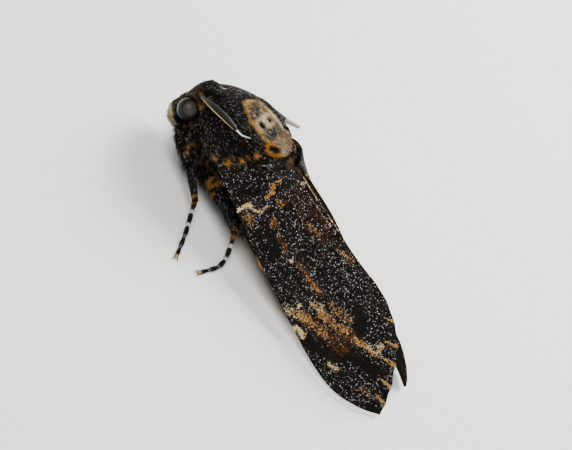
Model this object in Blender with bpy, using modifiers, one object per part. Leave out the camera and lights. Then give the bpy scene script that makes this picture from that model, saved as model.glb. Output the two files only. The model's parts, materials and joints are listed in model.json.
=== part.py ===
"""A death's head hawkmoth at rest, life size, with its wings folded like a roof.

The head points along +X, the left side is +Y, and the feet stand on the plane z = 0.
The origin is on that plane, under the middle of the moth's box.
Tables and sizes are in millimetres, and Blender's lengths are made from them with MM.
"""

import math

import bmesh
import bpy
from mathutils import Vector

MM = 0.001
GAP = 0.3
UP = Vector((0, 0, 1))

# Head, collar, thorax and abdomen are lofts of ellipses.
# A station is (x, z of the centre, half width, half height, lean of its plane to the head in degrees).
HEAD = [
    (27.85, 10.3, 4.4, 4.75, 17.5),
    (29.0, 10.25, 4.5, 4.9, 17.0),
    (30.3, 9.9, 4.25, 4.75, 17.0),
    (31.3, 9.3, 3.35, 3.8, 17.0),
    (32.0, 8.8, 2.3, 2.6, 17.0),
    (32.4, 8.6, 1.2, 1.4, 17.0),
    (32.5, 8.5, 0.4, 0.5, 17.0),
]
COLLAR = [
    (27.55, 10.3, 4.8, 4.8, 17.0),
    (26.9, 10.6, 5.5, 5.25, 14.0),
    (26.2, 10.85, 6.1, 5.5, 11.5),
    (25.5, 11.1, 6.4, 5.55, 9.5),
]
THORAX = [
    (25.2, 11.2, 6.6, 5.7, 8.5),
    (23.0, 11.65, 7.7, 6.3, 5.0),
    (20.5, 11.7, 8.2, 6.4, 2.0),
    (18.0, 11.6, 8.3, 6.4, 0.0),
    (15.3, 11.4, 8.05, 6.3, 0.0),
    (13.2, 11.05, 7.6, 6.15, 0.0),
    (11.6, 10.7, 7.0, 5.9, 0.0),
    (10.4, 10.2, 6.5, 5.45, 0.0),
    (9.6, 9.7, 6.0, 4.9, 0.0),
]
ABDOMEN = [
    (9.3, 8.1, 4.9, 4.2, 0.0),
    (7.0, 7.9, 5.3, 4.35, 0.0),
    (2.0, 7.5, 5.4, 4.3, 0.0),
    (-3.0, 7.0, 5.1, 4.05, 0.0),
    (-8.0, 6.4, 4.5, 3.65, 0.0),
    (-12.0, 6.0, 3.7, 3.1, 0.0),
    (-15.0, 5.7, 2.6, 2.4, 0.0),
    (-16.6, 5.4, 1.0, 1.0, 0.0),
]
ABDOMEN_SEGMENTS = 7
RING_SIDES = 28
SHOULDER_FLAP = 0.42
# 2 gives an ellipse, and more gives a broader back.
TRUNK_SQUARENESS = 2.7
ROUND = 2.0

EYE_RADIUS = 2.05
EYE_CENTRE = (30.15, 3.6, 9.25)

PALP_PATH = [
    (27.7, 1.6, 4.75), (29.4, 1.7, 4.1), (31.2, 1.75, 4.4), (32.3, 1.7, 5.6), (32.65, 1.6, 7.1),
    (32.45, 1.4, 8.6),
]
PALP_RADII = [0.75, 0.95, 1.0, 1.0, 0.9, 0.5]

# The tongue is a short thick coil between the palps.
COIL_CENTRE = (31.0, 0.0, 4.4)
COIL_RADIUS = 0.95
COIL_THICKNESS = 0.38
COIL_TURNS = 1.35

ANTENNA_SOCKET = 0.8
ANTENNA_RADII = [0.3, 0.42, 0.56, 0.64, 0.66, 0.6, 0.46, 0.3, 0.16]
ANTENNA_PATHS = {
    "left": [
        (30.4, 3.2, 12.9), (28.5, 5.1, 14.3), (26.3, 6.8, 15.7), (23.5, 8.1, 16.8), (21.0, 8.5, 17.15),
        (19.9, 8.55, 17.4), (18.7, 8.6, 18.3),
    ],
    "right": [
        (30.4, -3.2, 12.9), (28.3, -5.5, 13.5), (25.6, -7.5, 13.9), (22.6, -8.8, 14.4), (19.6, -9.25, 14.9),
        (17.3, -9.5, 15.5), (14.9, -10.0, 16.3),
    ],
}

# The forewing's middle surface is a patch between four edges.
# a runs from its root (0) to its outer margin (1), and b from its front edge (0) to its inner edge (1).
WING_COSTA = [
    (17.6, 8.85, 9.2), (12.5, 10.0, 7.8), (7.1, 11.0, 6.5), (1.0, 12.0, 5.1), (-4.9, 12.8, 3.85),
    (-8.3, 13.2, 3.1), (-12.8, 13.5, 2.1), (-18.0, 14.0, 1.1), (-22.9, 14.3, 0.72), (-25.9, 13.7, 0.66),
    (-28.5, 12.3, 0.62), (-30.9, 10.5, 0.6), (-33.7, 7.4, 0.62),
]
WING_INNER = [
    (9.8, 0.6, 16.6), (4.2, 0.4, 16.05), (-1.0, 0.4, 15.2), (-6.2, 0.4, 14.2), (-10.9, 0.4, 13.6),
    (-14.3, 0.4, 13.5),
]
WING_ROOT = [
    (17.6, 8.85, 9.2), (16.6, 9.2, 11.6), (14.6, 8.8, 14.2), (12.2, 6.8, 15.8), (10.8, 3.8, 16.3),
    (9.8, 0.6, 16.6),
]
WING_TERMEN = [
    (-33.7, 7.4, 0.62), (-32.6, 6.6, 2.85), (-31.0, 5.6, 5.3), (-28.6, 4.3, 8.05), (-26.4, 2.9, 10.2),
    (-23.5, 2.1, 11.7), (-20.1, 1.1, 12.8), (-17.0, 0.6, 13.3), (-14.3, 0.4, 13.5),
]
WING_BOW = 0.25
WING_BOW_WAY = Vector((0, 0.68, 0.73))
# The right wing's tail lies closer in and lower: the shares of its width and height, and the x where
# that starts and where it is whole.
RIGHT_TUCK = (0.36, 0.26)
RIGHT_TUCK_FROM, RIGHT_TUCK_TO = 1.0, -24.0
WING_CLEARANCE = 0.62
WING_THICKNESS = 0.52
COSTA_THICKNESS = 0.85
# Each vein is (b at the margin, a where it starts). Four of them start where the discal cell ends.
WING_VEINS = [
    (0.085, 0.0), (0.225, 0.42), (0.37, 0.42), (0.51, 0.42), (0.66, 0.0), (0.82, 0.26), (0.96, 0.0),
]
VEIN_HEIGHT = 0.24
VEIN_HALF_WIDTH = 0.42
WING_STEPS_A = 19

# The hindwing lies under the forewing and follows it, apart from its root, which turns in to the thorax.
HINDWING_DEPTH = 0.92
# Its front and inner edges are points (a, b) of the forewing.
HINDWING_COSTA = [(0.17, 0.02), (0.22, -0.035), (0.30, -0.04), (0.36, 0.03), (0.50, 0.13), (0.62, 0.25)]
HINDWING_INNER = [(0.17, 0.62), (0.30, 0.74), (0.42, 0.83), (0.55, 0.86)]
HINDWING_ROOT = [(9.15, 6.3, 7.6), (9.15, 6.35, 9.6), (9.15, 5.95, 11.6), (9.15, 5.0, 13.2)]
HINDWING_BLEND = 0.34
HINDWING_VEINS = [0.08, 0.24, 0.42, 0.60, 0.78, 0.93]
HINDWING_STEPS = 9

# A leg is a list of joints: root of the coxa, trochanter, knee, end of the tibia, then points along the tarsus.
LEGS = {
    "fore_left": [
        (24.2, 2.9, 5.4), (27.6, 4.7, 5.4), (22.9, 7.2, 4.7), (16.8, 11.2, 2.6), (15.5, 13.5, 1.75),
        (13.7, 16.9, 0.85), (12.3, 20.6, 0.42), (11.2, 24.1, 0.3),
    ],
    "fore_right": [
        (24.2, -2.9, 5.4), (27.6, -4.7, 5.4), (25.2, -9.4, 6.6), (23.6, -15.0, 3.0), (24.5, -17.6, 1.6),
        (25.8, -20.3, 0.72), (27.3, -22.4, 0.42), (28.8, -24.4, 0.3),
    ],
    "mid_left": [
        (19.5, 2.9, 5.5), (20.6, 4.7, 3.7), (14.5, 7.7, 5.3), (7.9, 10.0, 3.8), (6.7, 11.3, 2.3),
        (5.6, 12.8, 1.0), (5.2, 15.6, 0.45), (5.9, 19.0, 0.36), (6.7, 21.9, 0.3),
    ],
    "mid_right": [
        (19.5, -2.9, 5.5), (20.6, -4.7, 3.7), (14.3, -7.9, 5.2), (7.6, -10.4, 3.6), (6.2, -12.2, 2.1),
        (4.9, -14.4, 0.9), (4.0, -17.2, 0.45), (3.4, -20.0, 0.36), (3.0, -22.6, 0.3),
    ],
    "hind_left": [
        (14.6, 3.0, 4.9), (13.6, 4.5, 3.3), (7.6, 6.8, 4.2), (-1.4, 7.1, 2.1), (-3.4, 7.0, 1.2),
        (-5.8, 6.8, 0.6), (-8.6, 6.5, 0.36), (-11.4, 6.1, 0.3),
    ],
    "hind_right": [
        (14.6, -3.0, 4.9), (13.6, -4.5, 3.3), (7.3, -6.8, 4.2), (-1.7, -7.1, 2.1), (-3.8, -7.0, 1.2),
        (-6.3, -6.7, 0.6), (-9.0, -6.3, 0.36), (-11.8, -5.8, 0.3),
    ],
}
COXA_RADII = (1.2, 1.05)
FEMUR_RADII = (1.05, 1.2, 0.95)
TIBIA_RADII = (0.95, 0.95, 0.72)
TARSUS_RADII = (0.55, 0.42)
TARSOMERES = 5
CLAW_LENGTH = 0.8
CLAW_RADIUS = 0.16
CLAW_SPREAD = 0.45
SPURS = {"fore": [], "mid": [0.86], "hind": [0.6, 0.86]}
SPUR_LENGTH = 2.0
SPUR_RADIUS = 0.2
LEG_SIDES = 3

COLOURS = {
    "fur": ((0.035, 0.032, 0.03), 0.9),
    "eye": ((0.06, 0.055, 0.05), 0.3),
    "antenna": ((0.07, 0.06, 0.045), 0.6),
    "forewing": ((0.05, 0.04, 0.035), 0.8),
    "hindwing": ((0.62, 0.4, 0.1), 0.8),
    "abdomen": ((0.5, 0.33, 0.1), 0.85),
    "leg": ((0.06, 0.055, 0.05), 0.7),
}


class Path:
    """A smooth curve through a list of points of any number of values, run by a share of its length."""

    def __init__(self, points):
        self.points = [tuple(float(v) for v in p) for p in points]
        self.at_point = [0.0]
        for p, q in zip(self.points, self.points[1:]):
            self.at_point.append(self.at_point[-1] + math.dist(p[:3], q[:3]))

    def slope(self, i):
        """The curve's direction at its point i."""
        before, after = max(i - 1, 0), min(i + 1, len(self.points) - 1)
        run = self.at_point[after] - self.at_point[before]
        return [(q - p) / run for p, q in zip(self.points[before], self.points[after])]

    def at(self, share):
        """The values at that share of the length, carried straight on past either end."""
        length = share * self.at_point[-1]
        i = 0
        while i < len(self.points) - 2 and length > self.at_point[i + 1]:
            i += 1
        run = self.at_point[i + 1] - self.at_point[i]
        t = (length - self.at_point[i]) / run
        if t < 0 or t > 1:
            end = i if t < 0 else i + 1
            past = length - self.at_point[end]
            return [p + past * s for p, s in zip(self.points[end], self.slope(end))]
        out = []
        for p, q, m, n in zip(self.points[i], self.points[i + 1], self.slope(i), self.slope(i + 1)):
            out.append(
                (2 * t**3 - 3 * t**2 + 1) * p
                + (t**3 - 2 * t**2 + t) * run * m
                + (3 * t**2 - 2 * t**3) * q
                + (t**3 - t**2) * run * n
            )
        return out


def smooth(t):
    """A step from 0 to 1 with soft ends."""
    t = min(max(t, 0.0), 1.0)
    return t * t * (3 - 2 * t)


COSTA, INNER, ROOT, TERMEN = Path(WING_COSTA), Path(WING_INNER), Path(WING_ROOT), Path(WING_TERMEN)


def forewing_point(a, b, side):
    """A forewing's middle surface, in millimetres, drawn on the left. Side -1 is the right wing's shape."""
    costa, inner = Vector(COSTA.at(a)), Vector(INNER.at(a))
    root, termen = Vector(ROOT.at(b)), Vector(TERMEN.at(b))
    root_bend = root - Vector(WING_COSTA[0]).lerp(Vector(WING_INNER[0]), b)
    termen_bend = termen - Vector(WING_COSTA[-1]).lerp(Vector(WING_INNER[-1]), b)
    bow = WING_BOW_WAY * (WING_BOW * 4 * b * (1 - b) * 4 * a * (1 - a) ** 2)
    point = costa.lerp(inner, b) + bow
    point += root_bend * (1 - min(a, 1.0)) ** 6 + termen_bend * max(a, 0.0) ** 3
    if side < 0:
        tuck = smooth((point.x - RIGHT_TUCK_FROM) / (RIGHT_TUCK_TO - RIGHT_TUCK_FROM))
        point.y = GAP + (point.y - GAP) * (1 - RIGHT_TUCK[0] * tuck)
        point.z = WING_CLEARANCE + (point.z - WING_CLEARANCE) * (1 - RIGHT_TUCK[1] * tuck)
    return point


def forewing_normal(a, b, side):
    """The way out of the forewing's upper face."""
    step = 0.01
    along = forewing_point(a + step, b, side) - forewing_point(a - step, b, side)
    across = forewing_point(a, b + step, side) - forewing_point(a, b - step, side)
    normal = across.cross(along).normalized()
    return normal if normal.z > 0 else -normal


def clear_scene():
    """Starts from an empty scene."""
    for obj in list(bpy.data.objects):
        bpy.data.objects.remove(obj)


def finish_of(slot):
    """The plain material of a slot, made once."""
    if slot in bpy.data.materials:
        return bpy.data.materials[slot]
    colour, roughness = COLOURS[slot]
    made = bpy.data.materials.new(slot)
    made.use_nodes = True
    shader = made.node_tree.nodes["Principled BSDF"]
    shader.inputs["Base Color"].default_value = (*colour, 1)
    shader.inputs["Roughness"].default_value = roughness
    return made


def object_from(name, bm, slot):
    """Turns a bmesh in millimetres into a named object in metres."""
    bmesh.ops.scale(bm, vec=(MM, MM, MM), verts=bm.verts)
    mesh = bpy.data.meshes.new(name)
    bm.to_mesh(mesh)
    bm.free()
    mesh.materials.append(finish_of(slot))
    mesh.shade_smooth()
    obj = bpy.data.objects.new(name, mesh)
    MOTH.objects.link(obj)
    return obj


def bmesh_of(obj):
    """A bmesh of the object's mesh, in millimetres."""
    bm = bmesh.new()
    bm.from_mesh(obj.data)
    bmesh.ops.scale(bm, vec=(1 / MM,) * 3, verts=bm.verts)
    return bm


def put_back(obj, bm):
    """Writes a bmesh in millimetres to the object's mesh."""
    bmesh.ops.scale(bm, vec=(MM, MM, MM), verts=bm.verts)
    bm.to_mesh(obj.data)
    bm.free()


def evaluated_mesh(obj):
    """The object's mesh with its modifiers applied."""
    bpy.context.view_layer.update()
    graph = bpy.context.evaluated_depsgraph_get()
    return bpy.data.meshes.new_from_object(obj.evaluated_get(graph))


def keep_largest(obj):
    """Drops every loose surface but the one with most faces."""
    bm = bmesh_of(obj)
    left, groups = set(bm.faces), []
    while left:
        reached, group = [left.pop()], []
        while reached:
            face = reached.pop()
            group.append(face)
            for edge in face.edges:
                for other in edge.link_faces:
                    if other in left:
                        left.remove(other)
                        reached.append(other)
        groups.append(group)
    groups.sort(key=len)
    dropped = [face for group in groups[:-1] for face in group]
    bmesh.ops.delete(bm, geom=dropped, context="FACES")
    bmesh.ops.dissolve_degenerate(bm, edges=bm.edges, dist=0.004)
    put_back(obj, bm)


def combine(obj, others, operation):
    """Joins the other solids to obj, or cuts them from it, and removes them."""
    tools = bpy.data.collections.new("tools")
    for other in others:
        tools.objects.link(other)
    step = obj.modifiers.new(operation.lower(), "BOOLEAN")
    step.operation = operation
    step.solver = "EXACT"
    step.operand_type = "COLLECTION"
    step.collection = tools
    made = evaluated_mesh(obj)
    obj.modifiers.clear()
    obj.data = made
    for other in others:
        bpy.data.objects.remove(other)
    bpy.data.collections.remove(tools)
    keep_largest(obj)


def loft(name, rings, slot):
    """A closed solid through rings of points, with flat ends."""
    bm = bmesh.new()
    rows = [[bm.verts.new(p) for p in ring] for ring in rings]
    count = len(rows[0])
    for row, following in zip(rows, rows[1:]):
        for k in range(count):
            bm.faces.new((row[k], row[(k + 1) % count], following[(k + 1) % count], following[k]))
    for row in (rows[0], rows[-1]):
        bm.faces.new(row)
    bmesh.ops.recalc_face_normals(bm, faces=bm.faces)
    return object_from(name, bm, slot)


def ring_at(station, squareness=ROUND, swell=None):
    """The outline of a body station. swell gives millimetres to add at (x, angle)."""
    x, z, half_width, half_height, lean = station
    up = Vector((math.sin(math.radians(lean)), 0, math.cos(math.radians(lean))))
    points = []
    for k in range(RING_SIDES):
        angle = 2 * math.pi * k / RING_SIDES
        extra = swell(x, angle) if swell else 0.0
        cos, sin = math.cos(angle), math.sin(angle)
        across = (half_width + extra) * math.copysign(abs(cos) ** (2 / squareness), cos)
        high = (half_height + extra) * math.copysign(abs(sin) ** (2 / squareness), sin)
        points.append(Vector((x, across, z)) + up * high)
    return points


def body_loft(name, stations, count, slot, squareness=ROUND, swell=None):
    """A solid through smoothly spaced stations of a body part."""
    path = Path(stations)
    rings = [ring_at(path.at(i / (count - 1)), squareness, swell) for i in range(count)]
    return loft(name, rings, slot)


def tube(name, points, radii, slot, sides=LEG_SIDES, steps=None):
    """A round rod along points in millimetres, its radius read along its length. More sides are rounder."""
    path, width = Path(points), Path([(i, r) for i, r in enumerate(radii)])
    steps = steps or len(points)
    curve = bpy.data.curves.new(name, "CURVE")
    curve.dimensions = "3D"
    curve.bevel_depth = MM
    curve.bevel_resolution = sides
    curve.use_fill_caps = True
    spline = curve.splines.new("POLY")
    spline.points.add(steps - 1)
    for i in range(steps):
        share = i / (steps - 1)
        spline.points[i].co = (*(Vector(path.at(share)) * MM), 1)
        spline.points[i].radius = width.at(share)[1]
    guide = bpy.data.objects.new(name + "_guide", curve)
    MOTH.objects.link(guide)
    mesh = evaluated_mesh(guide)
    bpy.data.objects.remove(guide)
    bm = bmesh.new()
    bm.from_mesh(mesh)
    bpy.data.meshes.remove(mesh)
    bmesh.ops.scale(bm, vec=(1 / MM,) * 3, verts=bm.verts)
    bmesh.ops.remove_doubles(bm, verts=bm.verts, dist=0.002)
    bmesh.ops.recalc_face_normals(bm, faces=bm.faces)
    return object_from(name, bm, slot)


def trim(obj, point, out):
    """Cuts obj flat at a point in millimetres, dropping what lies on the side that out points to."""
    bm = bmesh_of(obj)
    geometry = list(bm.verts) + list(bm.edges) + list(bm.faces)
    plane = {"plane_co": point, "plane_no": out}
    cut = bmesh.ops.bisect_plane(bm, geom=geometry, dist=1e-4, clear_outer=True, **plane)
    edges = [e for e in cut["geom_cut"] if isinstance(e, bmesh.types.BMEdge)]
    bmesh.ops.contextual_create(bm, geom=edges)
    bmesh.ops.recalc_face_normals(bm, faces=bm.faces)
    put_back(obj, bm)


def ball(name, centre, radius, slot, segments=20):
    """A sphere with its poles along Y."""
    bm = bmesh.new()
    bmesh.ops.create_uvsphere(bm, u_segments=segments, v_segments=segments // 2, radius=radius)
    for v in bm.verts:
        v.co = Vector((v.co.x, v.co.z, -v.co.y)) + Vector(centre)
    return object_from(name, bm, slot)


def sided(point, side):
    """A point of the left side, or its twin on the right for side -1."""
    return (point[0], point[1] * side, point[2])


def make_head():
    """The head, with a socket for each eye, palp and antenna."""
    head = loft("head", [ring_at(station) for station in HEAD], "fur")
    cutters = [ball("coil_pit", COIL_CENTRE, COIL_RADIUS + COIL_THICKNESS + GAP, "fur", 16)]
    for side, end in ((1, "left"), (-1, "right")):
        cutters.append(ball("eye_socket", sided(EYE_CENTRE, side), EYE_RADIUS + GAP, "fur"))
        cutters.append(ball("antenna_cup", ANTENNA_PATHS[end][0], ANTENNA_SOCKET, "fur", 12))
        path = [sided(p, side) for p in PALP_PATH]
        groove = [*path, Vector(path[-1]) + UP]
        cutters.append(tube("palp_groove", groove, [r + GAP for r in PALP_RADII], "fur", 3, 12))
        cutters.append(ball("palp_pit", path[0], PALP_RADII[0] + 1.3 * GAP, "fur", 12))
    combine(head, cutters, "DIFFERENCE")


def make_eyes_and_palps():
    """The eyes and the two palps that curve up in front of the face."""
    for side, end in ((1, "left"), (-1, "right")):
        ball("eye_" + end, sided(EYE_CENTRE, side), EYE_RADIUS, "eye")
        path = [sided(p, side) for p in PALP_PATH]
        tube("palp_" + end, path, PALP_RADII, "fur", 3, 10)


def make_tongue():
    """The tongue, coiled between the palps."""
    points = []
    for i in range(15):
        run = i / 14
        angle = math.radians(100) + 2 * math.pi * COIL_TURNS * run
        reach = COIL_RADIUS * (1 - 0.72 * run)
        points.append(Vector(COIL_CENTRE) + Vector((math.cos(angle), 0, math.sin(angle))) * reach)
    radii = [COIL_THICKNESS * share for share in (0.9, 0.6, 0.3)]
    tube("tongue", points, radii, "antenna", 1, 15)


def make_antennae():
    """The thick, tapered antennae, laid back along the shoulders with a hooked tip."""
    for end, path in ANTENNA_PATHS.items():
        tube("antenna_" + end, path, ANTENNA_RADII, "antenna", 3, 18)


def shoulder_swell(x, angle):
    """The shoulder flaps, raised in the thorax's own surface."""
    height = math.degrees(math.asin(math.sin(angle)))
    flap = SHOULDER_FLAP * smooth((25 - x) / 4) * smooth((x - 13.5) / 2.5)
    return flap * smooth((height - 2) / 12) * smooth((66 - height) / 14)


def leg_socket(joints):
    """The shape that clears a coxa from the trunk."""
    root, end = Vector(joints[0]), Vector(joints[1])
    along = (end - root).normalized()
    sizes = [COXA_RADII[0] + GAP, COXA_RADII[1] + GAP]
    return tube("leg_socket", [root - along * GAP, end + along], sizes, "fur", 4)


def make_trunk():
    """Collar, thorax and abdomen, with a socket in the thorax for each leg."""
    collar = body_loft("collar", COLLAR, 5, "fur", TRUNK_SQUARENESS)
    combine(collar, [leg_socket(LEGS[name]) for name in ("fore_left", "fore_right")], "DIFFERENCE")
    thorax = body_loft("thorax", THORAX, 17, "fur", TRUNK_SQUARENESS, shoulder_swell)
    combine(thorax, [leg_socket(joints) for joints in LEGS.values()], "DIFFERENCE")
    start, end = ABDOMEN[0][0], ABDOMEN[-1][0]

    def waist(x, angle):
        """The groove between two rings of the abdomen."""
        place = (x - start) / (end - start) * ABDOMEN_SEGMENTS
        off = abs(place - round(place))
        inner = 0 < round(place) < ABDOMEN_SEGMENTS
        return -0.3 * max(0.0, 1 - off / 0.2) if inner else 0.0

    body_loft("abdomen", ABDOMEN, ABDOMEN_SEGMENTS * 3 + 1, "abdomen", ROUND, waist)


def vein_lines(veins, width):
    """The b of each grid line across a wing of that width: each vein's crest and two feet, and the spaces."""
    foot = min(VEIN_HALF_WIDTH / width, 0.038)
    lines = [0.0, min(veins) * 0.45]
    for i, b in enumerate(veins):
        lines += [b - foot, b, b + foot]
        if i + 1 < len(veins):
            lines.append((b + veins[i + 1]) / 2)
    return [*lines[:-1], 1.0] if lines[-1] > 0.995 else [*lines, 1.0]


def sheet(name, rows, weights, thickness, slot, side):
    """A thin solid on a grid of points. weights are each point's share of the thickness."""
    bm = bmesh.new()
    across = len(rows[0])
    bmesh.ops.create_grid(bm, x_segments=len(rows) - 1, y_segments=across - 1, size=1)
    order = sorted(bm.verts, key=lambda v: (round(v.co.x, 5), round(v.co.y, 5)))
    for i, v in enumerate(order):
        p = rows[i // across][i % across]
        v.co = (p[0], p[1] * side, p[2])
    bmesh.ops.triangulate(bm, faces=bm.faces, quad_method="SHORT_EDGE")
    bm.verts.index_update()
    places = [v.index for v in order]
    bm.normal_update()
    if sum(f.normal.z for f in bm.faces) < 0:
        bmesh.ops.reverse_faces(bm, faces=bm.faces)
    obj = object_from(name, bm, slot)
    group = obj.vertex_groups.new(name="thickness")
    flat = [w for row in weights for w in row]
    for place, weight in zip(places, flat):
        group.add([place], weight, "REPLACE")
    shell = obj.modifiers.new("thickness", "SOLIDIFY")
    shell.thickness = thickness * MM
    shell.offset = 0
    shell.vertex_group = group.name
    shell.thickness_vertex_group = 0
    return obj


def make_forewing(side, end):
    """One forewing, its veins raised in its own surface and its front edge thick."""
    rows, weights = [], []
    membrane = WING_THICKNESS / COSTA_THICKNESS
    for i in range(WING_STEPS_A + 1):
        a = i / WING_STEPS_A
        width = (Vector(COSTA.at(a)) - Vector(INNER.at(a))).length
        lines = vein_lines([v[0] for v in WING_VEINS], width)
        row, weight = [], []
        for b in lines:
            ridge = 0.0
            for at, start in WING_VEINS:
                if abs(b - at) < 1e-6:
                    ridge = smooth((a - start + 0.03) / 0.06) * (1 - 0.5 * a)
            row.append(forewing_point(a, b, side) + forewing_normal(a, b, side) * ridge * VEIN_HEIGHT)
            front = smooth(1 - b / 0.05)
            weight.append(membrane + (1 - membrane) * front)
        rows.append(row)
        weights.append(weight)
    sheet("forewing_" + end, rows, weights, COSTA_THICKNESS, "forewing", side)


def make_hindwing(side, end):
    """One hindwing, folded under the forewing."""
    costa, inner, root = Path(HINDWING_COSTA), Path(HINDWING_INNER), Path(HINDWING_ROOT)
    rows, weights = [], []
    for i in range(HINDWING_STEPS + 1):
        run = i / HINDWING_STEPS
        front, rear = costa.at(run), inner.at(run)
        row = []
        for d in vein_lines(HINDWING_VEINS, 11.0):
            bow = 0.05 * math.sin(math.pi * d) * run
            a = front[0] + (rear[0] - front[0]) * d + bow
            b = front[1] + (rear[1] - front[1]) * d
            ridge = 0.8 * VEIN_HEIGHT if any(abs(d - v) < 1e-6 for v in HINDWING_VEINS) else 0.0
            depth = HINDWING_DEPTH + VEIN_HEIGHT - ridge
            under = forewing_point(a, b, side) - forewing_normal(a, b, side) * depth
            turn = smooth(run / HINDWING_BLEND)
            row.append(Vector(root.at(d)).lerp(under, turn))
        rows.append(row)
        weights.append([1.0] * len(row))
    sheet("hindwing_" + end, rows, weights, WING_THICKNESS, "hindwing", side)


def leg_piece(name, start, end, radii, before, after, slot="leg"):
    """A straight limb between two joints, cut on the line that halves each joint's bend."""
    a, b = Vector(start), Vector(end)
    along = (b - a).normalized()
    reach = 2 * max(radii)
    full = [a - along * reach, a, (a + b) / 2, b, b + along * reach]
    middle = (radii[0] + radii[-1]) / 2 if len(radii) == 2 else radii[1]
    sizes = [radii[0], radii[0], middle, radii[-1], radii[-1]]
    limb = tube(name, full, sizes, slot, LEG_SIDES, 9)
    if before is not None:
        seam = (along + (a - Vector(before)).normalized()).normalized()
        trim(limb, a + seam * GAP / 2, -seam)
    else:
        trim(limb, a, -along)
    seam = (along + (Vector(after) - b).normalized()).normalized()
    trim(limb, b - seam * GAP / 2, seam)
    return limb


def spur_pair(joints, place):
    """The pair of spurs at a share of the tibia's length."""
    knee, ankle = Vector(joints[2]), Vector(joints[3])
    along = (ankle - knee).normalized()
    spurs = []
    for turn in (1, -1):
        root = knee.lerp(ankle, place) + along.cross(UP).normalized() * SPUR_RADIUS * 1.6 * turn
        lean = (along + along.cross(UP).normalized() * 0.62 * turn - UP * 0.1).normalized()
        points = [root, root + lean * SPUR_LENGTH / 2, root + lean * SPUR_LENGTH]
        spurs.append(tube("spur", points, [SPUR_RADIUS * 1.4, SPUR_RADIUS, 0.05], "leg", 1, 4))
    return spurs


def make_tarsus(name, joints):
    """The foot of five joints, with two claws and a small flat where it stands."""
    path = Path(joints[3:])
    points, radii = [], []
    for i in range(TARSOMERES):
        for share, swell in ((0.0, 0.8), (0.25, 0.95), (0.85, 1.12)):
            along = (i + share) / TARSOMERES
            points.append(path.at(along))
            radii.append((TARSUS_RADII[0] + (TARSUS_RADII[1] - TARSUS_RADII[0]) * along) * swell)
    points.append(path.at(1.0))
    radii.append(TARSUS_RADII[1] * 0.85)
    heading = (Vector(points[1]) - Vector(points[0])).normalized()
    points[0] = Vector(points[0]) - heading * 1.5
    foot = tube(name, points, radii, "leg", LEG_SIDES - 1, 3 * TARSOMERES + 1)
    limb = (Vector(joints[3]) - Vector(joints[2])).normalized()
    seam = (limb + heading).normalized()
    trim(foot, Vector(joints[3]) + seam * GAP / 2, -seam)
    trim(foot, Vector((0, 0, 0)), -UP)
    last = Vector(joints[-1])
    ahead = (last - Vector(joints[-2])).normalized()
    aside = ahead.cross(UP).normalized()
    claws = []
    for turn in (1, -1):
        out = (ahead + aside * CLAW_SPREAD * turn).normalized()
        root = last + aside * CLAW_RADIUS * 1.5 * turn
        start, crest = root - ahead * 0.3 + UP * 0.05, root + out * CLAW_LENGTH * 0.5 + UP * 0.16
        arch = [start, crest, root + out * CLAW_LENGTH - UP * 0.1]
        claws.append(tube("claw", arch, [CLAW_RADIUS * 1.3, CLAW_RADIUS, 0.05], "leg", 1, 5))
    combine(foot, claws, "UNION")


def make_leg(name, joints):
    """Coxa, femur, tibia and tarsus of one leg."""
    pair, end = name.split("_")
    leg_piece(f"{pair}_coxa_{end}", joints[0], joints[1], COXA_RADII, None, joints[2])
    leg_piece(f"{pair}_femur_{end}", joints[1], joints[2], FEMUR_RADII, joints[0], joints[3])
    tibia = leg_piece(f"{pair}_tibia_{end}", joints[2], joints[3], TIBIA_RADII, joints[1], joints[4])
    spurs = [spur for place in SPURS[pair] for spur in spur_pair(joints, place)]
    if spurs:
        combine(tibia, spurs, "UNION")
    make_tarsus(f"{pair}_tarsus_{end}", joints)


clear_scene()
MOTH = bpy.data.collections.new("hawkmoth")
bpy.context.scene.collection.children.link(MOTH)
make_head()
make_eyes_and_palps()
make_tongue()
make_antennae()
make_trunk()
for wing_side, wing_end in ((1, "left"), (-1, "right")):
    make_forewing(wing_side, wing_end)
    make_hindwing(wing_side, wing_end)
for leg_name, leg_joints in LEGS.items():
    make_leg(leg_name, leg_joints)
body_root = bpy.data.objects.new("hawkmoth_root", None)
MOTH.objects.link(body_root)
for part in MOTH.objects:
    if part != body_root:
        part.parent = body_root
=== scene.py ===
"""A death's head hawkmoth at rest, life size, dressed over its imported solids.

The head points along +X, the left side is +Y, and the feet stand on z = 0.
Sizes and places are in millimetres unless a name says otherwise, and MM turns them into metres.
The skin lies inside the solids by the depth of the coat, and the coat's tufts reach out to them.
"""

import json
import logging
import math
from collections.abc import Callable, Sequence
from dataclasses import dataclass, field
from enum import Enum
from typing import Any

import bpy
import numpy as np
from mathutils import Matrix, Vector

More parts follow.
